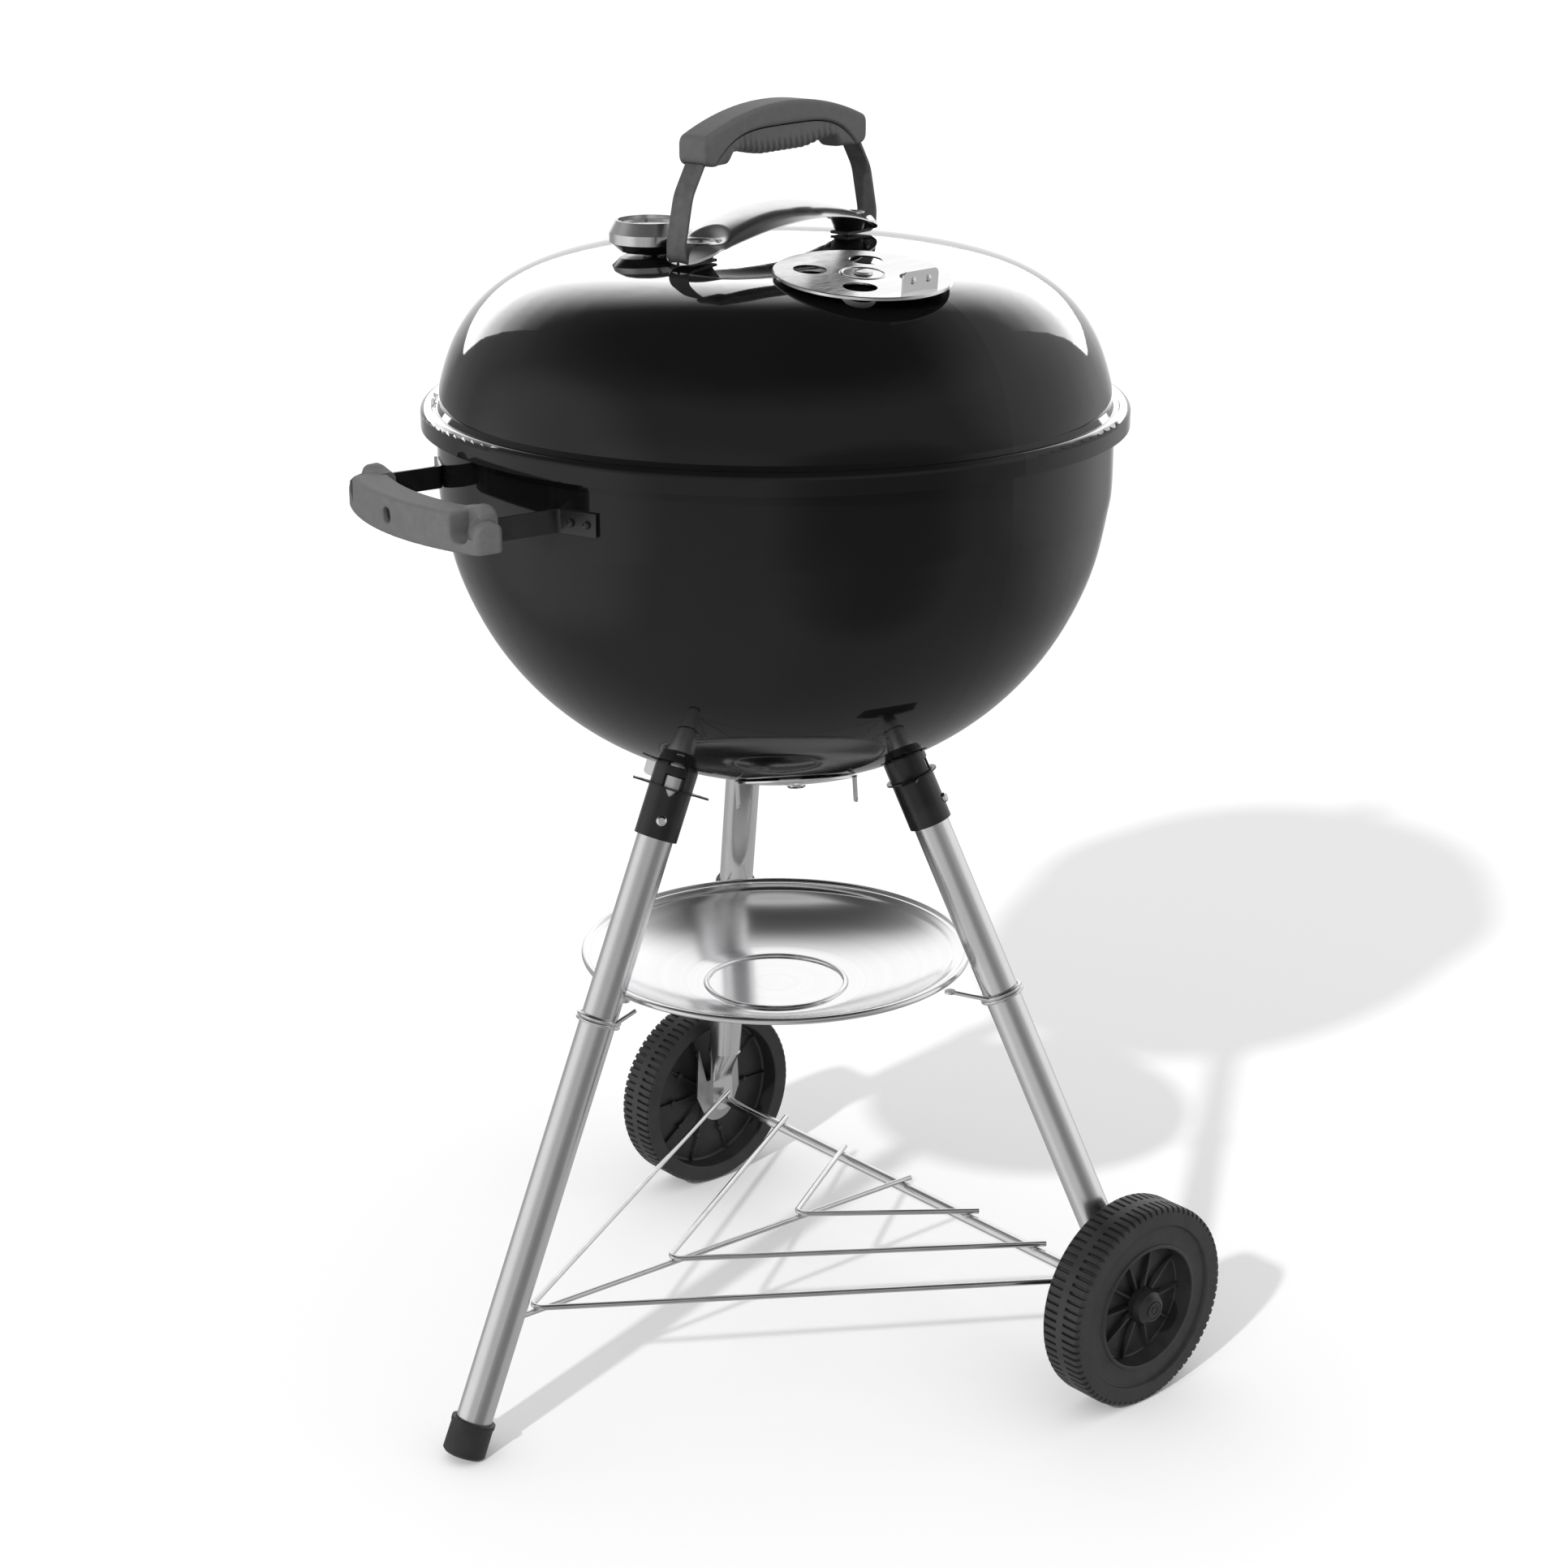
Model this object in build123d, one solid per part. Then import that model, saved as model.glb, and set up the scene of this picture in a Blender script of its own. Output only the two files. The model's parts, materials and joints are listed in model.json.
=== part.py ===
from build123d import *
import math
import os

# Kettle charcoal grill on three legs, millimetres, +Z up.
# The foot leg and the side handle point to -Y, the wheel axle runs along X at +Y.
# The frame stands under the middle of the grill's box, on the ground.

# ---- driving dimensions ----
KETTLE_Y = 29.93          # kettle axis, ahead of the middle of the box

BOWL_R = 229.5            # bowl, outside
BOWL_WALL = 2.0
BOWL_SHOULDER_Z = 671.0   # where the round bottom meets the upright wall
BOWL_DEPTH = 225.2        # shoulder to bottom, outside
BOWL_POWER_R = 2.07
BOWL_POWER_Z = 2.10
BOWL_TOP_Z = 702.4
BEAD_R = 236.4            # rolled bead on the bowl's edge
BEAD_H = 5.5

LID_R = 228.6             # lid wall, outside
LID_WALL = 1.8
LID_BASE_Z = 694.3
LID_RISE = 114.4
LID_POWER_R = 4.52
LID_POWER_Z = 2.11
FLANGE_R = 240.0
FLANGE_BOTTOM_Z = 694.0
FLANGE_TOP_Z = 708.6

TUBE_R = 12.7             # leg tube
TUBE_WALL = 1.3
FOOT_LEG_TOP = (0.0, -88.9, 462.7)
FOOT_LEG_END = (0.0, -286.1, 3.0)
WHEEL_LEG_TOP = (83.4, 44.6, 462.7)
WHEEL_LEG_LOW = (225.2, 134.1, 80.4)
PINCH_TOP_Z = 122.0       # the wheel legs are pinched flat below here
TAB_X = 221.0             # middle plane of the flattened leg end
TAB_THICK = 6.0
TAB_WIDTH = 20.0

SOCKET_R = 15.2
SOCKET_BORE_R = 12.9
SOCKET_LENGTH = 51.0
CAP_FLOOR = 2.8
CLIP_DROP = 15.0          # clip plate below the socket's top
BUTTON_DROP = 38.0
BUTTON_R = 3.5
BUTTON_TRAVEL = 3.5

AXLE_R = 4.0
AXLE_Y = 129.1
AXLE_Z = 75.0
AXLE_HALF = 259.0
WHEEL_R = 75.0
WHEEL_IN_X = 223.2
WHEEL_OUT_X = 256.8
RIM_INNER_R = 61.0        # inboard hollow of the wheel
DISH_R = 45.0             # outboard dish
WEB_X = 238.5
WEB_THICK = 4.0
HUB_R = 10.0
SPOKES = 10
RIVET_R = 2.75            # shanks of rivets and handle screws
HOLE_R = 3.1

WIRE_R = 2.0
RACK_STEP = 71.1          # spacing of the rack wires along the axle
RACK_APEX_Y = (-227.2, -103.6, 18.0)
RACK_RISE = 0.028         # the rack climbs a little towards the foot leg

PAN_R = 139.9
PAN_RIM_Z = 309.0
PAN_DEPTH = 30.0
PAN_WALL = 1.2

HANDLE_TURN = -5.5        # side handle, degrees about the kettle axis from straight ahead
HANDLE_Z = 667.0
STRAP_H = 15.0
STRAP_T = 2.0
ARM_X = 75.0
GRIP_H = 25.0

LID_HANDLE_TURN = 12.0    # degrees, handle line against the Y axis
FOOT_S = 83.0             # handle foot from the lid's centre
ARM_W = 15.0
ARM_T = 2.0
HANDLE_TOP_Z = 906.0
LID_GRIP_HALF = 88.0

DAMPER_AT_R = 120.0
DAMPER_AT = -13.0         # degrees
DAMPER_R = 57.5
DAMPER_HOLE_R = 11.0
DAMPER_HOLES_AT = 34.0
DAMPER_LIFT = 1.6
DAMPER_T = 1.2

THERMO_X = -42.0
THERMO_Y = -73.0
THERMO_R = 27.5
THERMO_H = 20.5

VENT_AT_R = 75.0
VENT_R = 42.0
VENT_DOME_R = 262.0
VENT_HOLE_R = 8.0
VENT_HOLES_AT = 24.0

GRATE_R = 214.0
GRATE_Z = 688.0
GRATE_STEP = 17.0
GRATE_WIRE = 2.5          # radius of the hoop's wire
COAL_R = 168.0
COAL_Z = 530.0
COAL_STEP = 24.0
COAL_WIRE = 3.0

LEG_ANGLES = {"front": -90.0, "right": 30.0, "left": 150.0}
VENT_ANGLES = {"front": -30.0, "back": 90.0, "left": 210.0}
BUTTON_TURN = {"front": -42.0, "right": 44.0, "left": 136.0}

UP = (Align.CENTER, Align.CENTER, Align.MIN)


# ---- helpers ----
def rod(start, end, radius):
    """Round bar from start to end."""
    first, last = Vector(*start), Vector(*end)
    run = last - first
    return Plane(first, z_dir=run) * Cylinder(radius, run.length, align=UP)


def polar(radius, degrees, z=0.0):
    turn = math.radians(degrees)
    return (radius * math.cos(turn), radius * math.sin(turn), z)


def along(start, end, t):
    """Point at the fraction t of the way from start to end."""
    return tuple(a + (b - a) * t for a, b in zip(start, end))


def turned(*lines):
    """Solid of revolution about Z from a closed outline in the XZ plane."""
    return revolve(make_face(Curve() + list(lines)), axis=Axis.Z)


def turned_points(*points):
    return turned(Polyline(*[(r, 0, z) for r, z in points], close=True))


def bent_rod(points, radius, bend):
    path = FilletPolyline(*points, radius=bend)
    return sweep(Plane(path @ 0, z_dir=path % 0) * Circle(radius), path=path)


def bent_strap(points, bend, thick, wide, across):
    """Flat strap along a path in one plane; across is the direction of its width."""
    path = FilletPolyline(*points, radius=bend)
    start = Plane(path @ 0, x_dir=across, z_dir=path % 0)
    return sweep(start * Rectangle(wide, thick), path=path)


def mirrored(shape):
    """The same piece on the -X side."""
    return mirror(shape, about=Plane.YZ)


def bowl_z(radius, wall=0.0):
    span = 1 - (radius / (BOWL_R - wall)) ** BOWL_POWER_R
    return BOWL_SHOULDER_Z - (BOWL_DEPTH - wall) * span ** (1 / BOWL_POWER_Z)


def lid_z(radius, wall=0.0):
    span = 1 - (radius / (LID_R - wall)) ** LID_POWER_R
    return LID_BASE_Z + (LID_RISE - wall) * span ** (1 / LID_POWER_Z)


def bowl_curve(wall=0.0):
    """Half section of the round bottom, from the axis out to the shoulder."""
    big = BOWL_R - wall
    radii = [big * math.sin(math.radians(90 * i / 12)) for i in range(12)]
    points = [(r, 0, bowl_z(r, wall)) for r in radii] + [(big, 0, BOWL_SHOULDER_Z)]
    return Spline(*points, tangents=[(1, 0, 0), (0, 0, 1)])


def lid_curve(wall, end_z):
    """Half section of the dome, from the axis out to the height end_z."""
    big = LID_R - wall
    steps = 13
    low = ((end_z - LID_BASE_Z) / (LID_RISE - wall)) ** LID_POWER_Z
    end_r = big * (1 - low) ** (1 / LID_POWER_R)
    last = math.asin(end_r / big)
    radii = [big * math.sin(last * i / steps) for i in range(steps + 1)]
    points = [(r, 0, lid_z(r, wall)) for r in radii]
    return Spline(*points, tangents=[(1, 0, 0), (0, 0, -1)])


def lid_plane(radius, degrees):
    """Plane on the lid's outside, z along the surface normal, x outwards."""
    slope = lid_z(radius + 0.5) - lid_z(radius - 0.5)
    out = Vector(*polar(1, degrees))
    normal = Vector(0, 0, 1) - out * slope
    return Plane(Vector(*polar(radius, degrees, lid_z(radius))), x_dir=out + Vector(0, 0, slope),
                 z_dir=normal)


def bowl_plane(radius, degrees):
    """Plane under the bowl, z along the outward normal, x outwards."""
    slope = bowl_z(radius + 0.5) - bowl_z(radius - 0.5)
    out = Vector(*polar(1, degrees))
    normal = out * slope - Vector(0, 0, 1)
    return Plane(Vector(*polar(radius, degrees, bowl_z(radius))), x_dir=out + Vector(0, 0, slope),
                 z_dir=normal)


def leg_plane(end_low, top, turn):
    """Plane at a leg's top, z down the leg, x facing the heading turn as nearly as it can."""
    down = Vector(*end_low) - Vector(*top)
    down = down.normalized()
    heading = Vector(*polar(1, turn))
    facing = heading - down * heading.dot(down)
    return Plane(Vector(*top), x_dir=facing, z_dir=down)


LEGS = {
    "front": (FOOT_LEG_TOP, FOOT_LEG_END),
    "right": (WHEEL_LEG_TOP, WHEEL_LEG_LOW),
    "left": tuple((-x, y, z) for x, y, z in (WHEEL_LEG_TOP, WHEEL_LEG_LOW)),
}


# ---- bowl ----
def bowl_solid():
    """The bowl's outside as one filled solid, used to trim what is welded to it."""
    curve = bowl_curve()
    side = Polyline((BOWL_R, 0, BOWL_SHOULDER_Z), (BOWL_R, 0, BOWL_TOP_Z), (0, 0, BOWL_TOP_Z),
                    (0, 0, bowl_z(0)))
    return turned(curve, side)


def make_bowl():
    inner_r = BOWL_R - BOWL_WALL
    bead_low = BOWL_TOP_Z - BEAD_H
    outer_side = Polyline((BOWL_R, 0, BOWL_SHOULDER_Z), (BOWL_R, 0, bead_low), (BEAD_R - 1, 0, bead_low))
    bead_edge = ThreePointArc((BEAD_R - 1, 0, bead_low), (BEAD_R, 0, BOWL_TOP_Z - BEAD_H / 2),
                              (BEAD_R - 1, 0, BOWL_TOP_Z))
    inner_side = Polyline((BEAD_R - 1, 0, BOWL_TOP_Z), (inner_r, 0, BOWL_TOP_Z),
                          (inner_r, 0, BOWL_SHOULDER_Z))
    bottom = Line((0, 0, bowl_z(0)), (0, 0, bowl_z(0, BOWL_WALL)))
    shell = turned(bowl_curve(), outer_side, bead_edge, inner_side, bowl_curve(BOWL_WALL), bottom)
    for degrees in VENT_ANGLES.values():
        at = bowl_plane(VENT_AT_R, degrees)
        shell -= at * Cylinder(HOLE_R, 20)
        for hole in range(3):
            shell -= at * Pos(*polar(VENT_HOLES_AT, 120 * hole + 60)) * Cylinder(VENT_HOLE_R, 20)
    return shell


def make_vent(degrees):
    """Dished vent plate with two finger tabs and a half-round stop, turning on its rivet."""
    at = bowl_plane(VENT_AT_R, degrees)
    gap = 0.8
    thick = 1.2
    centre = Pos(0, 0, -VENT_DOME_R + gap)
    plate = centre * (Sphere(VENT_DOME_R + thick) - Sphere(VENT_DOME_R))
    plate &= Pos(0, 0, -10) * Cylinder(VENT_R, 40, align=UP)
    edge_z = gap + thick - VENT_R ** 2 / (2 * VENT_DOME_R)
    for side in (-1, 1):
        tab = Box(10, thick, 18, align=UP)
        tab = fillet(tab.edges().filter_by(Axis.Y).sort_by(Axis.Z)[-2:], 3)
        plate += Pos(0, side * (VENT_R - thick), edge_z - 0.6) * tab
    plate -= Cylinder(HOLE_R, 20)
    for hole in range(3):
        plate -= Pos(*polar(VENT_HOLES_AT, 120 * hole + 20)) * Cylinder(VENT_HOLE_R, 20)
    return at * plate


def make_vent_rivets():
    """Shouldered rivets with the half-round thumb tab peened on, fixed to the bowl."""
    group = []
    for degrees in VENT_ANGLES.values():
        at = bowl_plane(VENT_AT_R, degrees)
        rivet = turned_points((0, -4.5), (6, -4.5), (6, -3), (RIVET_R, -3), (RIVET_R, 2.4), (6.5, 2.4),
                              (6.5, 3.2), (4.5, 4.4), (0, 4.8))
        group.append(at * rivet)
    return Compound(group)


# ---- legs and their sockets ----
def make_socket(name):
    top, low = LEGS[name]
    at = leg_plane(low, top, BUTTON_TURN[name])
    tube = Pos(0, 0, -30) * Cylinder(SOCKET_R, SOCKET_LENGTH + 30, align=UP)
    tube -= Pos(0, 0, -40) * Cylinder(SOCKET_BORE_R, SOCKET_LENGTH + 60, align=UP)
    if name == "front":
        outline = Polyline((6, -7), (15, -7), (21, 0), (15, 7), (6, 7), close=True)
    else:
        outline = Polyline((6, -7), (14, -7), (14, 7), (6, 7), close=True)
    window = Plane(origin=(0, 0, 0), x_dir=(0, 0, 1), z_dir=(1, 0, 0)) * make_face(outline)
    tube -= extrude(window, amount=30)
    tube -= Pos(0, 0, BUTTON_DROP) * Rot(0, 90, 0) * Cylinder(BUTTON_R + 0.3, 30, align=UP)
    return at * tube - bowl_solid()


def make_leg_tube(name, start_drop=7.0):
    top, low = LEGS[name]
    length = (Vector(*low) - Vector(*top)).length
    at = leg_plane(low, top, BUTTON_TURN[name])
    tube = Pos(0, 0, start_drop) * Cylinder(TUBE_R, length - start_drop, align=UP)
    tube -= Cylinder(TUBE_R - TUBE_WALL, length + 10, align=UP)
    tube -= Pos(0, 0, BUTTON_DROP) * Rot(0, 90, 0) * Cylinder(BUTTON_R + 0.3, 30, align=UP)
    return at * tube


def make_front_leg():
    """Foot leg, stopping on the floor of its cap."""
    top, low = LEGS["front"]
    cap_floor = Plane(Vector(*low), z_dir=Vector(*low) - Vector(*top))
    return make_leg_tube("front") - cap_floor * Pos(0, 0, -CAP_FLOOR) * Cylinder(30, 30, align=UP)


def make_right_leg():
    """Wheel leg: tube down to the pinch, then a flattened end with the axle hole."""
    tube = make_leg_tube("right")
    keep = Pos(0, 0, PINCH_TOP_Z + 500) * Box(1200, 1200, 1000)
    tube &= keep
    top, low = LEGS["right"]
    fraction = (top[2] - PINCH_TOP_Z) / (top[2] - low[2])
    middle = Vector(*along(top, low, fraction))
    lean = (Vector(*low) - Vector(*top)).normalized()
    slice_x = TUBE_R / abs(lean.Z)
    upper = Plane((middle.X, middle.Y, PINCH_TOP_Z)) * Ellipse(slice_x, TUBE_R)
    flat_z = 92.0
    lower = Plane((TAB_X, AXLE_Y, flat_z)) * RectangleRounded(TAB_THICK, TAB_WIDTH, 2.4)
    pinch = loft([upper, lower])
    tab = Pos(TAB_X, AXLE_Y, AXLE_Z) * Rot(0, 90, 0) * Cylinder(TAB_WIDTH / 2, TAB_THICK)
    tab += Pos(TAB_X, AXLE_Y, (AXLE_Z + flat_z) / 2) * Box(TAB_THICK, TAB_WIDTH, flat_z - AXLE_Z)
    leg = tube + pinch + tab
    leg -= rod((TAB_X - 40, AXLE_Y, AXLE_Z), (TAB_X + 40, AXLE_Y, AXLE_Z), AXLE_R + 0.05)
    return leg


def make_foot_cap():
    """Cap pushed on the foot leg, worn flat where it meets the ground."""
    top, low = LEGS["front"]
    up_leg = Vector(*top) - Vector(*low)
    at = Plane(Vector(*low), z_dir=up_leg)
    cap = turned_points((0, 0), (13.6, 0), (15.2, 1.6), (15, 21), (15.6, 22), (15.6, 25), (12.9, 25),
                        (12.9, 2.5), (0, 2.5))
    cap = at * cap
    return cap & (Pos(0, -290, 0) * Box(100, 100, 100, align=UP))


def make_clip_plate(name):
    """Thin plate ringed round a socket, with a pierced ear on each side."""
    top, low = LEGS[name]
    at = leg_plane(low, top, BUTTON_TURN[name])
    thick = 1.2
    ear_out = 27.0
    plate = Cylinder(SOCKET_R + 3.2, thick, align=UP)
    outline = Polyline((-9, 0), (-5, -ear_out), (5, -ear_out), (9, 0), (5, ear_out), (-5, ear_out),
                       close=True)
    plate += extrude(make_face(outline), amount=thick)
    for side in (-1, 1):
        hole = Polyline((-3.4, side * 20), (3.4, side * 20), (0, side * 24.5), close=True)
        plate -= extrude(make_face(hole), amount=thick)
    plate -= Cylinder(SOCKET_R + 0.4, 10)
    return at * Pos(0, 0, CLIP_DROP) * plate


def make_button(name):
    """Spring button: flanged inside the tube, domed outside the socket."""
    top, low = LEGS[name]
    at = leg_plane(low, top, BUTTON_TURN[name])
    reach = SOCKET_R + 2.6
    pin = turned_points((0, 8.2), (4.8, 8.2), (4.8, 9.4), (BUTTON_R, 9.4), (BUTTON_R, reach - 1.2),
                        (2.2, reach), (0, reach))
    return at * Pos(0, 0, BUTTON_DROP) * Rot(0, 90, 0) * pin


# ---- wheels and axle ----
def make_axle():
    return rod((-AXLE_HALF, AXLE_Y, AXLE_Z), (AXLE_HALF, AXLE_Y, AXLE_Z), AXLE_R)


def make_right_wheel():
    """Wheel about its own axis, +Z of the turning frame pointing outboard along X."""
    inboard = 0.0
    width = WHEEL_OUT_X - WHEEL_IN_X
    web = WEB_X - WHEEL_IN_X
    bore = AXLE_R + 0.05
    hub_in = 4.2
    hub_out = 25.5
    wheel = turned_points((bore, hub_in), (HUB_R, hub_in), (HUB_R, web), (RIM_INNER_R, web),
                          (RIM_INNER_R, inboard), (WHEEL_R - 2, inboard), (WHEEL_R, inboard + 2),
                          (WHEEL_R, width - 2), (WHEEL_R - 2, width), (WHEEL_R - 13, width),
                          (WHEEL_R - 14, width - 1.6), (DISH_R + 1, width - 1.6), (DISH_R, width - 2.6),
                          (DISH_R - 1, web + WEB_THICK), (HUB_R, web + WEB_THICK), (HUB_R, hub_out),
                          (bore, hub_out))
    for spoke in range(SPOKES):
        rib = Pos((HUB_R + DISH_R) / 2 - 0.5, 0, web + WEB_THICK - 0.5) * Box(
            DISH_R - HUB_R, 2.2, 6.2, align=UP)
        rib += Pos((HUB_R + RIM_INNER_R) / 2, 0, web - 2.5) * Box(
            RIM_INNER_R - HUB_R + 1, 1.8, 3.0, align=UP)
        rib += Pos(38, 0, web - 3.2) * Cylinder(2.4, 3.6, align=UP)
        wheel += Rot(0, 0, 360 / SPOKES * spoke) * rib
    at = Plane(origin=(WHEEL_IN_X, AXLE_Y, AXLE_Z), x_dir=(0, 1, 0), z_dir=(1, 0, 0))
    return at * wheel


def make_right_hub_cap():
    """Push-on cap that keeps the wheel on the axle."""
    start = 249.2
    cap = turned_points((AXLE_R + 0.05, 0), (13.5, 0), (13.5, 4), (12, 8.5), (9, 11.6), (7, 12.2),
                        (7, 11.8), (6, 11.8), (6, 12.4), (3.4, 12.4), (3.4, 12), (2.4, 12),
                        (2.4, 12.4), (0, 12.4), (0, AXLE_HALF - start + 0.2),
                        (AXLE_R + 0.05, AXLE_HALF - start + 0.2))
    return Plane(origin=(start, AXLE_Y, AXLE_Z), x_dir=(0, 1, 0), z_dir=(1, 0, 0)) * cap


def make_right_bracket():
    """Shield-shaped plate between the leg end and the wheel, with two tips beside the leg."""
    low = AXLE_Z - 21
    outline = Polyline((AXLE_Y - 22, AXLE_Z + 4), (AXLE_Y - 20, AXLE_Z + 46), (AXLE_Y - 12, AXLE_Z + 16),
                       (AXLE_Y + 12, AXLE_Z + 16), (AXLE_Y + 20, AXLE_Z + 46), (AXLE_Y + 22, AXLE_Z + 4),
                       (AXLE_Y + 14, AXLE_Z - 14))
    foot = ThreePointArc((AXLE_Y + 14, AXLE_Z - 14), (AXLE_Y, low), (AXLE_Y - 14, AXLE_Z - 14))
    close = Line((AXLE_Y - 14, AXLE_Z - 14), (AXLE_Y - 22, AXLE_Z + 4))
    face = Plane.YZ.offset(TAB_X + TAB_THICK / 2 + 0.1) * make_face(Curve() + [outline, foot, close])
    plate = extrude(face, amount=1.5)
    return plate - rod((TAB_X - 10, AXLE_Y, AXLE_Z), (TAB_X + 20, AXLE_Y, AXLE_Z), AXLE_R + 0.05)


# ---- bottom rack ----
def rack_z(y, layer=0):
    """Height of a rack wire's middle; layer 1 lies on the centre wire."""
    return AXLE_Z + AXLE_R + WIRE_R + layer * 2 * WIRE_R + RACK_RISE * (AXLE_Y - y)


def make_rack_centre():
    over = 7.0
    start_y = -252.0
    wire = rod((0, AXLE_Y + over, rack_z(AXLE_Y + over)), (0, start_y, rack_z(start_y)), WIRE_R)
    top, low = LEGS["front"]
    return wire - rod(top, low, TUBE_R)


def make_rack_wire(index):
    """Bent wire: its bend lies on the centre wire, its ends on the axle."""
    apex_y = RACK_APEX_Y[index]
    spread = (3 - index) * RACK_STEP
    over = 3.0 if index == 0 else 7.0
    run_y = AXLE_Y - apex_y
    end_x = spread * (1 + over / run_y)
    end_y = AXLE_Y + over
    apex_z = rack_z(apex_y, 1)
    end_z = rack_z(AXLE_Y) - (apex_z - rack_z(AXLE_Y)) * over / run_y
    points = [(-end_x, end_y, end_z), (0, apex_y, apex_z), (end_x, end_y, end_z)]
    return bent_rod(points, WIRE_R, 6)


# ---- ash pan and its clips ----
def make_ash_pan():
    rim_r = 2.2
    rim_z = PAN_RIM_Z - rim_r
    floor_z = PAN_RIM_Z - PAN_DEPTH
    ring_r = 50.0
    outer = [(PAN_R - rim_r, rim_z - 0.6), (130, rim_z - 0.6), (124, rim_z - 3), (105, rim_z - 14),
             (80, floor_z + 4), (ring_r + 4, floor_z), (0, floor_z)]
    inner = [(r, z + PAN_WALL) for r, z in reversed(outer)]
    dish = turned_points(*outer, *inner)
    rim = turned(Line((PAN_R - rim_r, 0, rim_z - rim_r), (PAN_R - rim_r, 0, rim_z + rim_r)),
                 ThreePointArc((PAN_R - rim_r, 0, rim_z + rim_r), (PAN_R, 0, rim_z),
                               (PAN_R - rim_r, 0, rim_z - rim_r)))
    ring = Pos(0, 0, floor_z + PAN_WALL) * Torus(ring_r, 1.8)
    return dish + rim + ring


def make_pan_clip(name):
    """Wire wrapped twice round a leg, with one end under the pan and one over its rim."""
    top, low = LEGS[name]
    wire = 1.5
    wrap_z = 293.0
    fraction = (top[2] - wrap_z) / (top[2] - low[2])
    centre = Vector(*along(top, low, fraction))
    at = Plane(centre, z_dir=Vector(*top) - Vector(*low))
    wrap_r = TUBE_R + wire + 0.1
    clip = at * (Torus(wrap_r, wire) + Pos(0, 0, 2 * wire - 0.2) * Torus(wrap_r, wire))
    inward = Vector(-centre.X, -centre.Y, 0).normalized()
    across = Vector(-inward.Y, inward.X, 0)
    side = across * (wrap_r - 0.5)
    under_z = PAN_RIM_Z - 7.5
    start = centre + side
    end = start + inward * 34
    arm = rod(tuple(start), (end.X, end.Y, under_z - 6), wire)
    pad = Plane((end.X, end.Y, under_z - 6), x_dir=inward, z_dir=(0, 0, 1)) * Cylinder(4, 1.6)
    other = centre - side
    over = other + inward * 22
    hook = rod(tuple(other), (over.X, over.Y, under_z - 2), wire)
    leg = rod(top, low, TUBE_R)
    return clip + arm + pad + hook - leg


# ---- side handle ----
def side_handle(shape):
    """Turn a piece drawn straight ahead to the handle's own heading."""
    return Rot(0, 0, HANDLE_TURN) * shape


def strap_points(wall=0.0):
    wall_y = -math.sqrt((BOWL_R + 1.5) ** 2 - ARM_X ** 2)
    flange_x = ARM_X + 27
    flange_y = -math.sqrt((BOWL_R + 1.5) ** 2 - flange_x ** 2)
    half = [(flange_x, flange_y, HANDLE_Z), (ARM_X, wall_y, HANDLE_Z), (ARM_X, -273, HANDLE_Z)]
    return half + [(-x, y, z) for x, y, z in reversed(half)]


def side_strap(thick, wide):
    return bent_strap(strap_points(), 4, thick, wide, (0, 0, 1))


def make_side_strap():
    return side_handle(side_strap(STRAP_T, STRAP_H))


def side_grip_blank():
    half = 84.5
    front = ThreePointArc((-half, -282), (0, -300), (half, -282))
    right = Polyline((half, -282), (half, -263), (66, -263))
    back = ThreePointArc((66, -263), (0, -276), (-66, -263))
    left = Polyline((-66, -263), (-half, -263), (-half, -282))
    blank = extrude(make_face(Curve() + [front, right, back, left]), amount=GRIP_H)
    blank = Pos(0, 0, HANDLE_Z - GRIP_H / 2) * blank
    blank = fillet(blank.edges().filter_by(Axis.Z), 4)
    return fillet(blank.faces().sort_by(Axis.Z)[-1].edges(), 3)


def insert_zone(grow=0.0):
    """Inner strip of the grip, facing the bowl between the arms."""
    front = ThreePointArc((-62 - grow, -262), (0, -282 - grow), (62 + grow, -262))
    back = Line((62 + grow, -262), (-62 - grow, -262))
    zone = extrude(make_face(Curve() + [front, back]), amount=GRIP_H - 6 + 2 * grow)
    return Pos(0, 0, HANDLE_Z - GRIP_H / 2 + 3 - grow) * zone


def make_side_grip():
    grip = side_grip_blank()
    for side in (-1, 1):
        notch = Pos(side * 70, -286, HANDLE_Z + 6) * Box(13, 30, 24)
        notch = fillet(notch.edges().filter_by(Axis.Y).sort_by(Axis.Z)[:2], 5)
        grip -= notch
    grip -= insert_zone(0.3)
    grip -= side_strap(STRAP_T + 0.3, STRAP_H + 0.3)
    grip -= Pos(0, -297, HANDLE_Z) * Rot(90, 0, 0) * Cylinder(5, 27)
    return side_handle(grip)


def make_side_insert():
    insert = side_grip_blank() & insert_zone()
    insert -= side_strap(STRAP_T + 0.3, STRAP_H + 0.3)
    return side_handle(insert)


def make_side_screw():
    """Screw sunk in the middle of the grip."""
    return side_handle(Pos(0, -290.5, HANDLE_Z) * Rot(90, 0, 0) * Cylinder(4.6, 12))


def make_side_rivets():
    """Dome heads that hold the strap's flanges to the bowl."""
    group = []
    radius = BOWL_R + 2.9
    for side in (-1, 1):
        for degrees in (21.5, 24.5):
            at = Plane(Vector(*polar(radius, -90 + side * degrees, HANDLE_Z)),
                       z_dir=polar(1, -90 + side * degrees))
            head = turned_points((0, 0), (2.6, 0), (2.2, 1.0), (1.2, 1.6), (0, 1.8))
            group.append(side_handle(at * head))
    return Compound(group)


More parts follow.
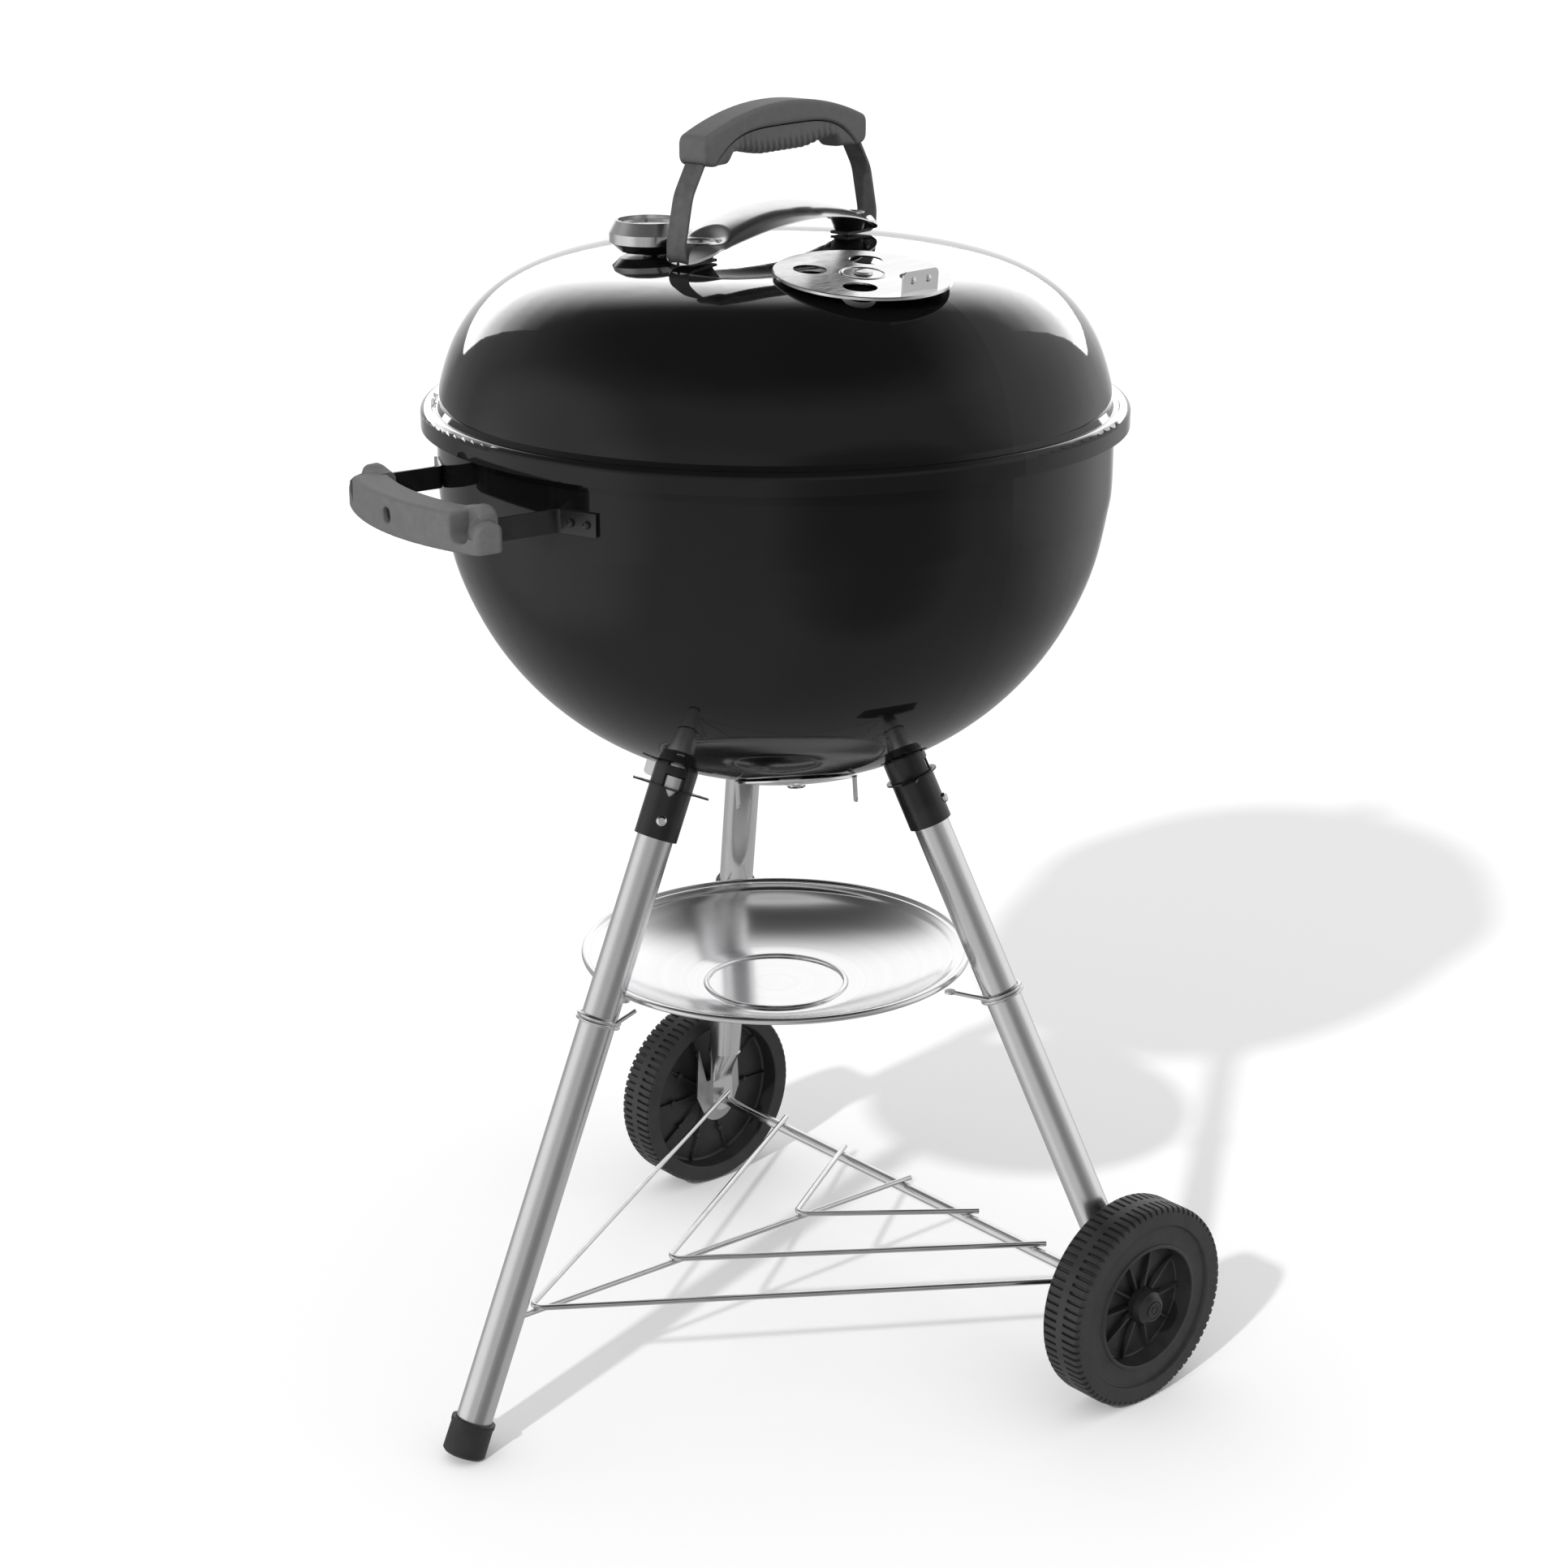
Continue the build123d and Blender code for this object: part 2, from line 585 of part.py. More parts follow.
# ---- lid ----
def make_lid():
    dome_end_z = 710.5
    outer = lid_curve(0, dome_end_z)
    inner = lid_curve(LID_WALL, dome_end_z - 3)
    top = outer @ 1
    low = inner @ 1
    bead = ThreePointArc((230.6, 0, 706.4), (235.5, 0, FLANGE_TOP_Z), (FLANGE_R, 0, 704.2))
    step = Line(tuple(top), (230.6, 0, 706.4))
    skirt = Polyline((FLANGE_R, 0, 704.2), (FLANGE_R, 0, FLANGE_BOTTOM_Z),
                     (FLANGE_R - 1.6, 0, FLANGE_BOTTOM_Z), (FLANGE_R - 1.6, 0, 703.8))
    under = ThreePointArc((FLANGE_R - 1.6, 0, 703.8), (235.5, 0, 706.4), (231, 0, 703.9))
    back = Line((231, 0, 703.9), tuple(low))
    crown = Line((0, 0, lid_z(0)), (0, 0, lid_z(0, LID_WALL)))
    lid = turned(outer, step, bead, skirt, under, back, inner, crown)
    damper = lid_plane(DAMPER_AT_R, DAMPER_AT)
    lid -= damper * Cylinder(HOLE_R, 20)
    for hole in range(4):
        spot = Pos(*polar(DAMPER_HOLES_AT, 90 * hole + 45 - DAMPER_AT))
        lid -= damper * spot * Cylinder(DAMPER_HOLE_R, 20)
    lid -= Pos(THERMO_X, THERMO_Y, lid_z(0)) * Cylinder(5.4, 30)
    for side in (-1, 1):
        lid -= lid_handle(Pos(0, side * FOOT_S, lid_z(0)) * Cylinder(HOLE_R, 30))
    return lid


def lid_handle(shape):
    """Handle pieces are drawn along Y and turned to the handle's line."""
    return Rot(0, 0, LID_HANDLE_TURN) * shape


FOOT_Z = lid_z(0) + 0.3


def handle_strap(thick, wide):
    half = [(0, 72, FOOT_Z + 1), (0, 104, FOOT_Z + 1), (0, 104.5, 823), (0, 97, 853), (0, 79, 880)]
    points = half + [(0, -y, z) for _, y, z in reversed(half)]
    return bent_strap(points, [7, 20, 30, 8, 8, 30, 20, 7], thick, wide, (1, 0, 0))


def make_handle_frame():
    frame = handle_strap(ARM_T, ARM_W)
    for side in (-1, 1):
        frame -= Pos(0, side * FOOT_S, FOOT_Z) * Cylinder(HOLE_R, 20)
    return lid_handle(frame)


def grip_face(*lines):
    return make_face(Curve() + list(lines))


def make_grip_upper():
    end = LID_GRIP_HALF
    top = ThreePointArc((0, -end, 889), (0, 0, HANDLE_TOP_Z), (0, end, 889))
    right = Polyline((0, end, 889), (0, end, 871.5), (0, 77.5, 870))
    parting = ThreePointArc((0, 77.5, 870), (0, 0, 893), (0, -77.5, 870))
    left = Polyline((0, -77.5, 870), (0, -end, 871.5), (0, -end, 889))
    body = extrude(grip_face(top, right, parting, left), amount=11.5, both=True)
    corner = [e for e in body.edges().filter_by(Axis.X) if abs(e.center().Y) > end - 1]
    body = fillet(corner, 6)
    body = fillet(body.faces().sort_by(Axis.X)[0].edges() + body.faces().sort_by(Axis.X)[-1].edges(), 2)
    return lid_handle(body - handle_strap(ARM_T + 0.4, ARM_W + 0.4))


def make_grip_lower():
    parting = ThreePointArc((0, -77.1, 869.9), (0, 0, 892.8), (0, 77.1, 869.9))
    belly = ThreePointArc((0, 60, 871), (0, 0, 870), (0, -60, 871))
    right = Line((0, 77.1, 869.9), (0, 60, 871))
    left = Line((0, -60, 871), (0, -77.1, 869.9))
    body = extrude(grip_face(parting, right, belly, left), amount=10.5, both=True)
    return lid_handle(body - handle_strap(ARM_T + 0.4, ARM_W + 0.4))


BUSH_Z = FOOT_Z + ARM_T + 0.3
CUP_Z = BUSH_Z + 5.8


def make_bushes():
    """Black bushes that space the heat shield off the handle's feet."""
    bush = turned_points((HOLE_R, 0), (9.6, 0), (10.4, 1), (13, 5.5), (HOLE_R, 5.5))
    return Compound([lid_handle(Pos(0, side * FOOT_S, BUSH_Z) * bush) for side in (-1, 1)])


def make_heat_shield():
    """Arched leaf of sheet steel with a pressed cup at each end."""
    tip = 103.0
    low_z = CUP_Z + 3.4
    top_z = 838.5
    thick = 1.0
    end, middle = 20.0, 30.0
    arch = Curve() + [
        ThreePointArc((0, -tip, low_z), (0, 0, top_z), (0, tip, low_z)),
        Line((0, tip, low_z), (0, tip, low_z - thick)),
        ThreePointArc((0, tip, low_z - thick), (0, 0, top_z - thick), (0, -tip, low_z - thick)),
        Line((0, -tip, low_z - thick), (0, -tip, low_z)),
    ]
    sheet = extrude(make_face(arch), amount=40, both=True)
    leaf = Curve() + [
        Spline((-end, -FOOT_S), (-middle, 0), (-end, FOOT_S), tangents=[(-0.2, 1), (0.2, 1)]),
        ThreePointArc((-end, FOOT_S), (0, tip), (end, FOOT_S)),
        Spline((end, FOOT_S), (middle, 0), (end, -FOOT_S), tangents=[(0.2, -1), (-0.2, -1)]),
        ThreePointArc((end, -FOOT_S), (0, -tip), (-end, -FOOT_S)),
    ]
    sheet &= Pos(0, 0, 780) * extrude(make_face(leaf), amount=100)
    for side in (-1, 1):
        spot = Pos(0, side * FOOT_S, CUP_Z)
        sheet -= spot * Cylinder(10.5, 40, align=UP)
        cup = turned_points((HOLE_R, 0), (9, 0), (11.5, 7), (10.5, 7), (8.4, 1), (HOLE_R, 1))
        sheet += spot * cup
    return lid_handle(sheet)


def make_handle_screws():
    screw = turned_points((0, -14), (RIVET_R, -14), (RIVET_R, 1.3), (6, 1.3), (6, 3.2), (4.5, 4.2), (0, 4.4))
    return Compound([lid_handle(Pos(0, side * FOOT_S, CUP_Z) * screw) for side in (-1, 1)])


def make_damper():
    """Round draught plate: four holes, a turned-down edge and a folded finger tab."""
    top = DAMPER_LIFT + DAMPER_T
    plate = turned_points((HOLE_R, DAMPER_LIFT), (DAMPER_R - 1.2, DAMPER_LIFT), (DAMPER_R - 1.2, 0.7),
                          (DAMPER_R, 0.7), (DAMPER_R, top - 0.5), (DAMPER_R - 0.5, top), (HOLE_R, top))
    for hole in range(4):
        plate -= Pos(*polar(DAMPER_HOLES_AT, 90 * hole + 45)) * Cylinder(DAMPER_HOLE_R, 20)
    tab = Box(DAMPER_T, 30, 15, align=UP)
    tab = fillet(tab.edges().filter_by(Axis.X).sort_by(Axis.Z)[-2:], 4)
    plate += Pos(DAMPER_R - 5, 0, top - 0.3) * tab
    return lid_plane(DAMPER_AT_R, DAMPER_AT) * Rot(0, 0, -DAMPER_AT) * plate


def make_damper_rivet():
    top = DAMPER_LIFT + DAMPER_T
    rivet = turned_points((0, -4.4), (6, -4.4), (6, -3), (RIVET_R, -3), (RIVET_R, 0.2), (7, 0.2),
                          (7, DAMPER_LIFT - 0.3), (RIVET_R, DAMPER_LIFT - 0.3), (RIVET_R, top + 0.3),
                          (6.5, top + 0.3), (5.5, top + 1.8), (0, top + 2.6))
    return lid_plane(DAMPER_AT_R, DAMPER_AT) * rivet


# ---- thermometer ----
THERMO_Z = lid_z(math.hypot(THERMO_X, THERMO_Y)) + 1.2


def at_thermo(shape):
    return Pos(THERMO_X, THERMO_Y, THERMO_Z) * shape


def make_thermo_bezel():
    floor = 12.0
    rim = THERMO_R - 4.5
    bezel = turned_points((5.4, 0), (20.5, 0), (THERMO_R, 6), (THERMO_R, 12.5), (rim, THERMO_H),
                          (rim - 1.6, THERMO_H), (rim - 2, floor), (5.4, floor))
    return at_thermo(bezel)


def make_thermo_dial():
    return at_thermo(Pos(0, 0, 12.1) * (Cylinder(20.6, 0.8, align=UP) - Cylinder(1.6, 5)))


def make_thermo_needle():
    """Pointer on its spindle."""
    spindle = Pos(0, 0, 10.5) * Cylinder(1.5, 4.2, align=UP)
    outline = Polyline((-5, -1.2), (16, -0.4), (16, 0.4), (-5, 1.2), close=True)
    needle = Pos(0, 0, 13.5) * extrude(make_face(outline), amount=0.7)
    needle += Pos(0, 0, 13.5) * Cylinder(2.6, 1.2, align=UP)
    return at_thermo(spindle + Rot(0, 0, 200) * needle)


def make_thermo_glass():
    return at_thermo(Pos(0, 0, THERMO_H - 4.2) * Cylinder(20.7, 1.6, align=UP))


def make_thermo_stem():
    """Probe through the lid, and the nut that holds it."""
    probe = Pos(0, 0, -42) * Cylinder(2.2, 37, align=UP)
    neck = Pos(0, 0, -14) * Cylinder(4.9, 24, align=UP)
    nut = Pos(0, 0, -9.4) * extrude(RegularPolygon(9, 6), amount=5)
    return at_thermo(probe + neck + nut)


# ---- grates ----
def make_hoop(radius, level, wire):
    """Outer hoop of a round grate."""
    inner_r = radius - 2 * wire
    return turned_points((inner_r, level - wire), (radius, level - wire), (radius, level + wire),
                         (inner_r, level + wire))


def make_grate_wires(radius, level, step, wire, bars):
    """Parallel wires inside a grate's hoop, and the cross bars they lie on."""
    inside = Pos(0, 0, level) * Cylinder(radius - 2 * wire - 0.05, 8 * wire)
    count = int(0.88 * radius // step)
    rods = [rod((index * step, -radius, level), (index * step, radius, level), wire * 0.8)
            for index in range(-count, count + 1)]
    drop = level - wire * 1.7 - 0.05
    rods += [rod((-radius, y, drop), (radius, y, drop), wire * 0.9) for y in bars]
    return Compound([(piece & inside).solid() for piece in rods])


def make_tabs(level, tab_reach, angles):
    """Small shelves welded inside the bowl to carry a grate."""
    weld_gap = 0.25
    space = inner_space(BOWL_WALL + weld_gap)
    shelves = [Rot(0, 0, degrees) * Pos(tab_reach, 0, level) * Box(60, 14, 2) for degrees in angles]
    return Compound([shelf & space for shelf in shelves])


def inner_space(wall):
    """Everything inside the bowl, as a solid."""
    inner_r = BOWL_R - wall
    side = Polyline((inner_r, 0, BOWL_SHOULDER_Z), (inner_r, 0, BOWL_TOP_Z), (0, 0, BOWL_TOP_Z),
                    (0, 0, bowl_z(0, wall)))
    return turned(bowl_curve(wall), side)


def build():
    right_leg = make_right_leg()
    right_wheel = make_right_wheel()
    right_cap = make_right_hub_cap()
    right_bracket = make_right_bracket()
    nodes = {
        "bowl": make_bowl(),
        "vent_rivets": make_vent_rivets(),
        "leg_front": make_front_leg(),
        "leg_right": right_leg,
        "leg_left": mirrored(right_leg),
        "foot_cap": make_foot_cap(),
        "axle": make_axle(),
        "wheel_right": right_wheel,
        "wheel_left": mirrored(right_wheel),
        "hub_cap_right": right_cap,
        "hub_cap_left": mirrored(right_cap),
        "bracket_right": right_bracket,
        "bracket_left": mirrored(right_bracket),
        "rack_centre_wire": make_rack_centre(),
        "ash_pan": make_ash_pan(),
        "side_handle_strap": make_side_strap(),
        "side_handle_grip": make_side_grip(),
        "side_handle_insert": make_side_insert(),
        "side_handle_screw": make_side_screw(),
        "side_handle_rivets": make_side_rivets(),
        "lid": make_lid(),
        "lid_handle_frame": make_handle_frame(),
        "lid_grip_upper": make_grip_upper(),
        "lid_grip_lower": make_grip_lower(),
        "lid_handle_bushes": make_bushes(),
        "lid_handle_screws": make_handle_screws(),
        "heat_shield": make_heat_shield(),
        "lid_damper": make_damper(),
        "lid_damper_rivet": make_damper_rivet(),
        "thermometer_bezel": make_thermo_bezel(),
        "thermometer_dial": make_thermo_dial(),
        "thermometer_needle": make_thermo_needle(),
        "thermometer_glass": make_thermo_glass(),
        "thermometer_stem": make_thermo_stem(),
        "cooking_grate": make_hoop(GRATE_R, GRATE_Z, GRATE_WIRE),
        "cooking_grate_wires": make_grate_wires(GRATE_R, GRATE_Z, GRATE_STEP, GRATE_WIRE, (-80, 80)),
        "charcoal_grate": make_hoop(COAL_R, COAL_Z, COAL_WIRE),
        "charcoal_grate_wires": make_grate_wires(COAL_R, COAL_Z, COAL_STEP, COAL_WIRE, (-60, 60)),
        "cooking_grate_tabs": make_tabs(GRATE_Z - 3.8, BOWL_R - 15, (60, 180, 300)),
        "charcoal_grate_tabs": make_tabs(COAL_Z - 4.3, COAL_R + 6, (60, 180, 300)),
    }
    for name in LEG_ANGLES:
        nodes["leg_socket_" + name] = make_socket(name)
        nodes["socket_clip_" + name] = make_clip_plate(name)
        nodes["spring_button_" + name] = make_button(name)
        nodes["pan_clip_" + name] = make_pan_clip(name)
    for name, degrees in VENT_ANGLES.items():
        nodes["bowl_vent_" + name] = make_vent(degrees)
    for index, name in enumerate(("long", "middle", "short")):
        nodes["rack_wire_" + name] = make_rack_wire(index)
    return nodes


os.makedirs("parts", exist_ok=True)
shift = Pos(0, KETTLE_Y, 0)
for node, shape in build().items():
    solids = [shift * solid for solid in shape.solids()]
    placed = solids[0] if len(solids) == 1 else Compound(solids)
    export_step(placed, "parts/" + node + ".step")
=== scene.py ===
import json
import math

import bmesh
import bpy
import numpy as np
from mathutils import Matrix, Vector

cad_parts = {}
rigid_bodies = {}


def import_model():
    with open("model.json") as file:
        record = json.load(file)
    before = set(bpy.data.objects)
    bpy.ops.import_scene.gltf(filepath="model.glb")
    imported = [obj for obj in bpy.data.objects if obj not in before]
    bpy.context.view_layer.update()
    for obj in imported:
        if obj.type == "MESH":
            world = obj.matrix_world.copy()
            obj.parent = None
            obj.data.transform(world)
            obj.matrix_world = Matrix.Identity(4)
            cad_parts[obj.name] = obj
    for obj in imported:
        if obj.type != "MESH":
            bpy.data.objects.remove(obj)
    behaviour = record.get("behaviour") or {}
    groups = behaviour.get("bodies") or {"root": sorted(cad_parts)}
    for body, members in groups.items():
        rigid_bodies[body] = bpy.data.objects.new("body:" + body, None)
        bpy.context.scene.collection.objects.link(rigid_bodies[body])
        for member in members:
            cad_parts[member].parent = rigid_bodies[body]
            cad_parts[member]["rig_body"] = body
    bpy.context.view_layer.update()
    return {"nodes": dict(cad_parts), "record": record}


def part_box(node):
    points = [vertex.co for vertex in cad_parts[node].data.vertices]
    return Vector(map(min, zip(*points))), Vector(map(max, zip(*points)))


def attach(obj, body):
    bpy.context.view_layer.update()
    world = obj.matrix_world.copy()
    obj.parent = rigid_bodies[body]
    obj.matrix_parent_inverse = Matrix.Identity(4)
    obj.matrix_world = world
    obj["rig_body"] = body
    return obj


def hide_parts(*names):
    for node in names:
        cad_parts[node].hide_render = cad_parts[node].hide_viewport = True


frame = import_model()
nodes = frame["nodes"]
mm = 0.001


def centre_of(node):
    low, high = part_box(node)
    return (low + high) / 2


def bottom_of(node):
    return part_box(node)[0].z


# ---- driving places, read from the frame ----
KETTLE = Vector((0, centre_of("bowl").y, 0))
AXLE = centre_of("axle")
WHEEL_LOW, WHEEL_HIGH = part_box("wheel_right")
WHEEL_IN = WHEEL_LOW.x
WHEEL_OUT = WHEEL_HIGH.x
WHEEL_R = (WHEEL_HIGH.z - WHEEL_LOW.z) / 2
PAN_LOW, PAN_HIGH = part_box("ash_pan")
PAN_R = (PAN_HIGH.x - PAN_LOW.x) / 2
THERMO = centre_of("thermometer_bezel")

LID_TURN = math.radians(12)       # the lid handle's line against the Y axis
SIDE_TURN = math.radians(-5.5)    # the side handle's heading against -Y


def handle_place(turn):
    """Place of a handle turned about the kettle's axis: the lid's runs along Y, the side's along X."""
    return Matrix.Translation(KETTLE) @ Matrix.Rotation(turn, 4, "Z")


def add_object(name, data):
    made = bpy.data.objects.new(name, data)
    bpy.context.scene.collection.objects.link(made)
    return made


# ---- materials ----
def wire(tree, start, output, end, socket):
    tree.links.new(start.outputs[output], end.inputs[socket])


def add_node(tree, kind, **inputs):
    made = tree.nodes.new(kind)
    for name, value in inputs.items():
        made.inputs[name.replace("_", " ")].default_value = value
    return made


def vector_math(tree, operation, constant=None):
    made = tree.nodes.new("ShaderNodeVectorMath")
    made.operation = operation
    if constant is not None:
        made.inputs[1].default_value = constant
    return made


BROAD_SHARE = 0.12                # scale of the broad noise against the fine one
BLEND_FROM, BLEND_TO = 0.32, 0.68
GLOSS_FROM, GLOSS_TO = 0.3, 0.7


def surface(name, dark, light, rough, grain, spread=(1, 1, 1), bump=0.1, depth=0.05, metal=0.0,
            spin=None, **sockets):
    """Procedural finish: noise moves the colour from dark to light and the roughness over its range,
    and a finer noise raises the surface. spin is the axis of a spun sheet's turning marks."""
    material = bpy.data.materials.new(name)
    material.use_nodes = True
    tree = material.node_tree
    shader = tree.nodes["Principled BSDF"]
    shader.inputs["Metallic"].default_value = metal
    for socket, value in sockets.items():
        shader.inputs[socket.replace("_", " ")].default_value = value
    place = tree.nodes.new("ShaderNodeTexCoord")
    stretch = add_node(tree, "ShaderNodeMapping", Scale=spread)
    if spin is None:
        wire(tree, place, "Object", stretch, "Vector")
    else:
        centre = vector_math(tree, "SUBTRACT", spin)
        flat = vector_math(tree, "MULTIPLY", (1, 1, 0))
        length = vector_math(tree, "LENGTH")
        wire(tree, place, "Object", centre, 0)
        wire(tree, centre, "Vector", flat, 0)
        wire(tree, flat, "Vector", length, 0)
        wire(tree, length, "Value", stretch, "Vector")
    broad = add_node(tree, "ShaderNodeTexNoise", Scale=grain * BROAD_SHARE, Detail=3.0)
    fine = add_node(tree, "ShaderNodeTexNoise", Scale=grain, Detail=4.0)
    wire(tree, stretch, "Vector", broad, "Vector")
    wire(tree, stretch, "Vector", fine, "Vector")
    blend = tree.nodes.new("ShaderNodeValToRGB")
    stops = blend.color_ramp.elements
    for stop, position, colour in ((stops[0], BLEND_FROM, dark), (stops[1], BLEND_TO, light)):
        stop.position = position
        stop.color = (*colour, 1)
    wire(tree, broad, "Fac", blend, "Fac")
    wire(tree, blend, "Color", shader, "Base Color")
    gloss = add_node(tree, "ShaderNodeMapRange", From_Min=GLOSS_FROM, From_Max=GLOSS_TO,
                     To_Min=rough[0], To_Max=rough[1])
    wire(tree, fine, "Fac", gloss, "Value")
    wire(tree, gloss, "Result", shader, "Roughness")
    raised = add_node(tree, "ShaderNodeBump", Strength=bump, Distance=depth * mm)
    wire(tree, fine, "Fac", raised, "Height")
    wire(tree, raised, "Normal", shader, "Normal")
    return material


def grey(value):
    """Grey with a trace of blue."""
    return (value, value, value * 1.01)


ENAMEL = surface("enamel_black", grey(0.0034), grey(0.0044), (0.045, 0.060), 90, bump=0.02, depth=0.01,
                 IOR=1.38)
LEG_METAL = surface("leg_aluminium", grey(0.77), grey(0.80), (0.22, 0.27), 900, (1, 1, 0.03),
                    0.05, 0.01, metal=1.0)
SPUN_METAL = surface("spun_aluminium", grey(0.80), grey(0.84), (0.12, 0.16), 900, bump=0.03,
                     depth=0.004, metal=1.0, spin=KETTLE)
PLATE_METAL = surface("plate_aluminium", grey(0.76), grey(0.84), (0.13, 0.22), 700, (1, 0.15, 1), 0.12,
                      0.02, metal=1.0)
SHIELD_METAL = surface("shield_stainless", grey(0.70), grey(0.74), (0.13, 0.17), 1100, bump=0.05,
                       depth=0.01, metal=1.0)
CHROME = surface("chrome_wire", grey(0.70), grey(0.78), (0.08, 0.16), 500, bump=0.08, depth=0.01,
                 metal=1.0)
ZINC = surface("bracket_zinc", grey(0.48), grey(0.58), (0.32, 0.45), 260, bump=0.15, depth=0.03,
               metal=1.0)
BEZEL_METAL = surface("bezel_metal", grey(0.62), grey(0.68), (0.14, 0.20), 900, (1, 1, 0.1), 0.1, 0.01,
                      metal=1.0)
GRATE_METAL = surface("grate_plating", grey(0.52), grey(0.62), (0.22, 0.36), 400, bump=0.15, depth=0.03,
                      metal=1.0)
BLACK_STEEL = surface("black_steel", grey(0.006), grey(0.009), (0.20, 0.28), 700, bump=0.08, depth=0.01)
ARM_COAT = surface("arm_coating", grey(0.055), grey(0.075), (0.42, 0.55), 1500, bump=0.55, depth=0.10)
GREY_PLASTIC = surface("grip_plastic", grey(0.098), grey(0.112), (0.46, 0.58), 1500, bump=0.30,
                       depth=0.05)
# the same grey plastic as the side grip, made darker: painted shade for the lid grip, whose faces turn
# away from the key light
SHADED_LID_PLASTIC = surface("lid_grip_plastic_painted_shade", grey(0.074), grey(0.086), (0.46, 0.58), 1500, bump=0.30,
                      depth=0.05)
BLACK_PLASTIC = surface("black_plastic", grey(0.010), grey(0.014), (0.28, 0.40), 900, bump=0.2,
                        depth=0.02)
WHEEL_PLASTIC = surface("wheel_plastic", grey(0.016), grey(0.022), (0.38, 0.50), 700, bump=0.25,
                        depth=0.03)
RUBBER = surface("cap_rubber", grey(0.011), grey(0.016), (0.42, 0.58), 600, bump=0.35, depth=0.05)
DIAL_PAINT = surface("dial_paint", grey(0.70), grey(0.76), (0.40, 0.50), 400, bump=0.05, depth=0.01)
INK = surface("dial_ink", grey(0.010), grey(0.016), (0.40, 0.50), 400, bump=0.05, depth=0.01)
GLASS = surface("gauge_glass", grey(0.92), grey(0.96), (0.01, 0.03), 60, bump=0.02, depth=0.01,
                Transmission_Weight=1.0)

FINISHES = {
    "bowl": ENAMEL, "lid": ENAMEL, "cooking_grate_tabs": ENAMEL, "charcoal_grate_tabs": ENAMEL,
    "ash_pan": SPUN_METAL, "heat_shield": SHIELD_METAL, "thermometer_bezel": BEZEL_METAL,
    "thermometer_dial": DIAL_PAINT, "thermometer_needle": INK, "thermometer_glass": GLASS,
    "thermometer_stem": SHIELD_METAL, "lid_damper": PLATE_METAL, "lid_damper_rivet": SHIELD_METAL,
    "vent_rivets": SHIELD_METAL, "lid_handle_screws": SHIELD_METAL, "lid_handle_frame": ARM_COAT,
    "lid_handle_bushes": BLACK_PLASTIC, "side_handle_strap": BLACK_STEEL,
    "side_handle_rivets": BLACK_STEEL, "side_handle_screw": BLACK_PLASTIC,
    "side_handle_grip": GREY_PLASTIC, "side_handle_insert": GREY_PLASTIC,
    # the lid grip's halves take the darker plastic, whose colour holds painted shade
    "lid_grip_upper": SHADED_LID_PLASTIC, "lid_grip_lower": SHADED_LID_PLASTIC, "foot_cap": RUBBER, "axle": CHROME,
}
# finishes of the other nodes, by the start of their names
FAMILIES = {
    "cooking_grate": GRATE_METAL, "charcoal_grate": GRATE_METAL,
    "leg_socket": BLACK_STEEL, "socket_clip": BLACK_STEEL, "leg_": LEG_METAL, "bowl_vent": PLATE_METAL,
    "rack_": CHROME, "pan_clip": CHROME, "spring_button": SHIELD_METAL, "bracket": ZINC,
    "hub_cap": BLACK_PLASTIC, "wheel": WHEEL_PLASTIC,
}


def finish_of(node):
    if node in FINISHES:
        return FINISHES[node]
    return next(finish for start, finish in FAMILIES.items() if node.startswith(start))


for node, piece in nodes.items():
    piece.data.materials.clear()
    piece.data.materials.append(finish_of(node))

SLOT_OF = {row["node"]: row["material_slot"] for row in frame["record"]["subparts"]}


# ---- mesh helpers ----
def new_piece(name, points, faces, material, body, stands_for=(), slot=None, sharp=32,
              merge=True):
    """Makes a mesh piece in the row frame, smooth but for edges sharper than the given angle."""
    mesh = bpy.data.meshes.new(name)
    mesh.from_pydata([tuple(p) for p in points], [], faces)
    if merge:
        work = bmesh.new()
        work.from_mesh(mesh)
        bmesh.ops.remove_doubles(work, verts=work.verts, dist=1e-6)
        bmesh.ops.recalc_face_normals(work, faces=work.faces)
        work.to_mesh(mesh)
        work.free()
    mesh.shade_smooth()
    mesh.set_sharp_from_angle(angle=math.radians(sharp))
    mesh.materials.append(material)
    piece = add_object(name, mesh)
    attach(piece, body)
    if stands_for:
        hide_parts(*stands_for)
    return piece


def grid_faces(rows, columns, wrap_rows=False):
    """Faces between rings of points, each ring closed on itself."""
    faces = []
    for i in range(rows if wrap_rows else rows - 1):
        for j in range(columns):
            down, right = (i + 1) % rows, (j + 1) % columns
            faces.append((i * columns + j, i * columns + right,
                          down * columns + right, down * columns + j))
    return faces


def capped_faces(rows, columns):
    """Faces of a row of rings, closed at the first and the last."""
    caps = [tuple(range(columns)), tuple(range((rows - 1) * columns, rows * columns))]
    return grid_faces(rows, columns) + caps


def spun(profile, steps, place, closed=True):
    """Points and faces of a profile of (radius, height) turned about the local Z axis of place."""
    points = []
    for radius, height in profile:
        for step in range(steps):
            angle = 2 * math.pi * step / steps
            points.append(place @ Vector((radius * math.cos(angle), radius * math.sin(angle), height)))
    return points, grid_faces(len(profile), steps, wrap_rows=closed)


def joined(*parts):
    """One set of points and faces from several."""
    points, faces = [], []
    for part_points, part_faces in parts:
        start = len(points)
        points += part_points
        faces += [tuple(start + index for index in face) for face in part_faces]
    return points, faces


def prism(corners, place):
    """Solid from two rings of corners, the first ring below the second."""
    points = [place @ Vector(p) for ring in corners for p in ring]
    return points, capped_faces(2, len(corners[0]))


def level_corners(start, end, half, start_z, end_z):
    """Four corners lying along local X."""
    return [(start, -half, start_z), (end, -half, end_z), (end, half, end_z), (start, half, start_z)]


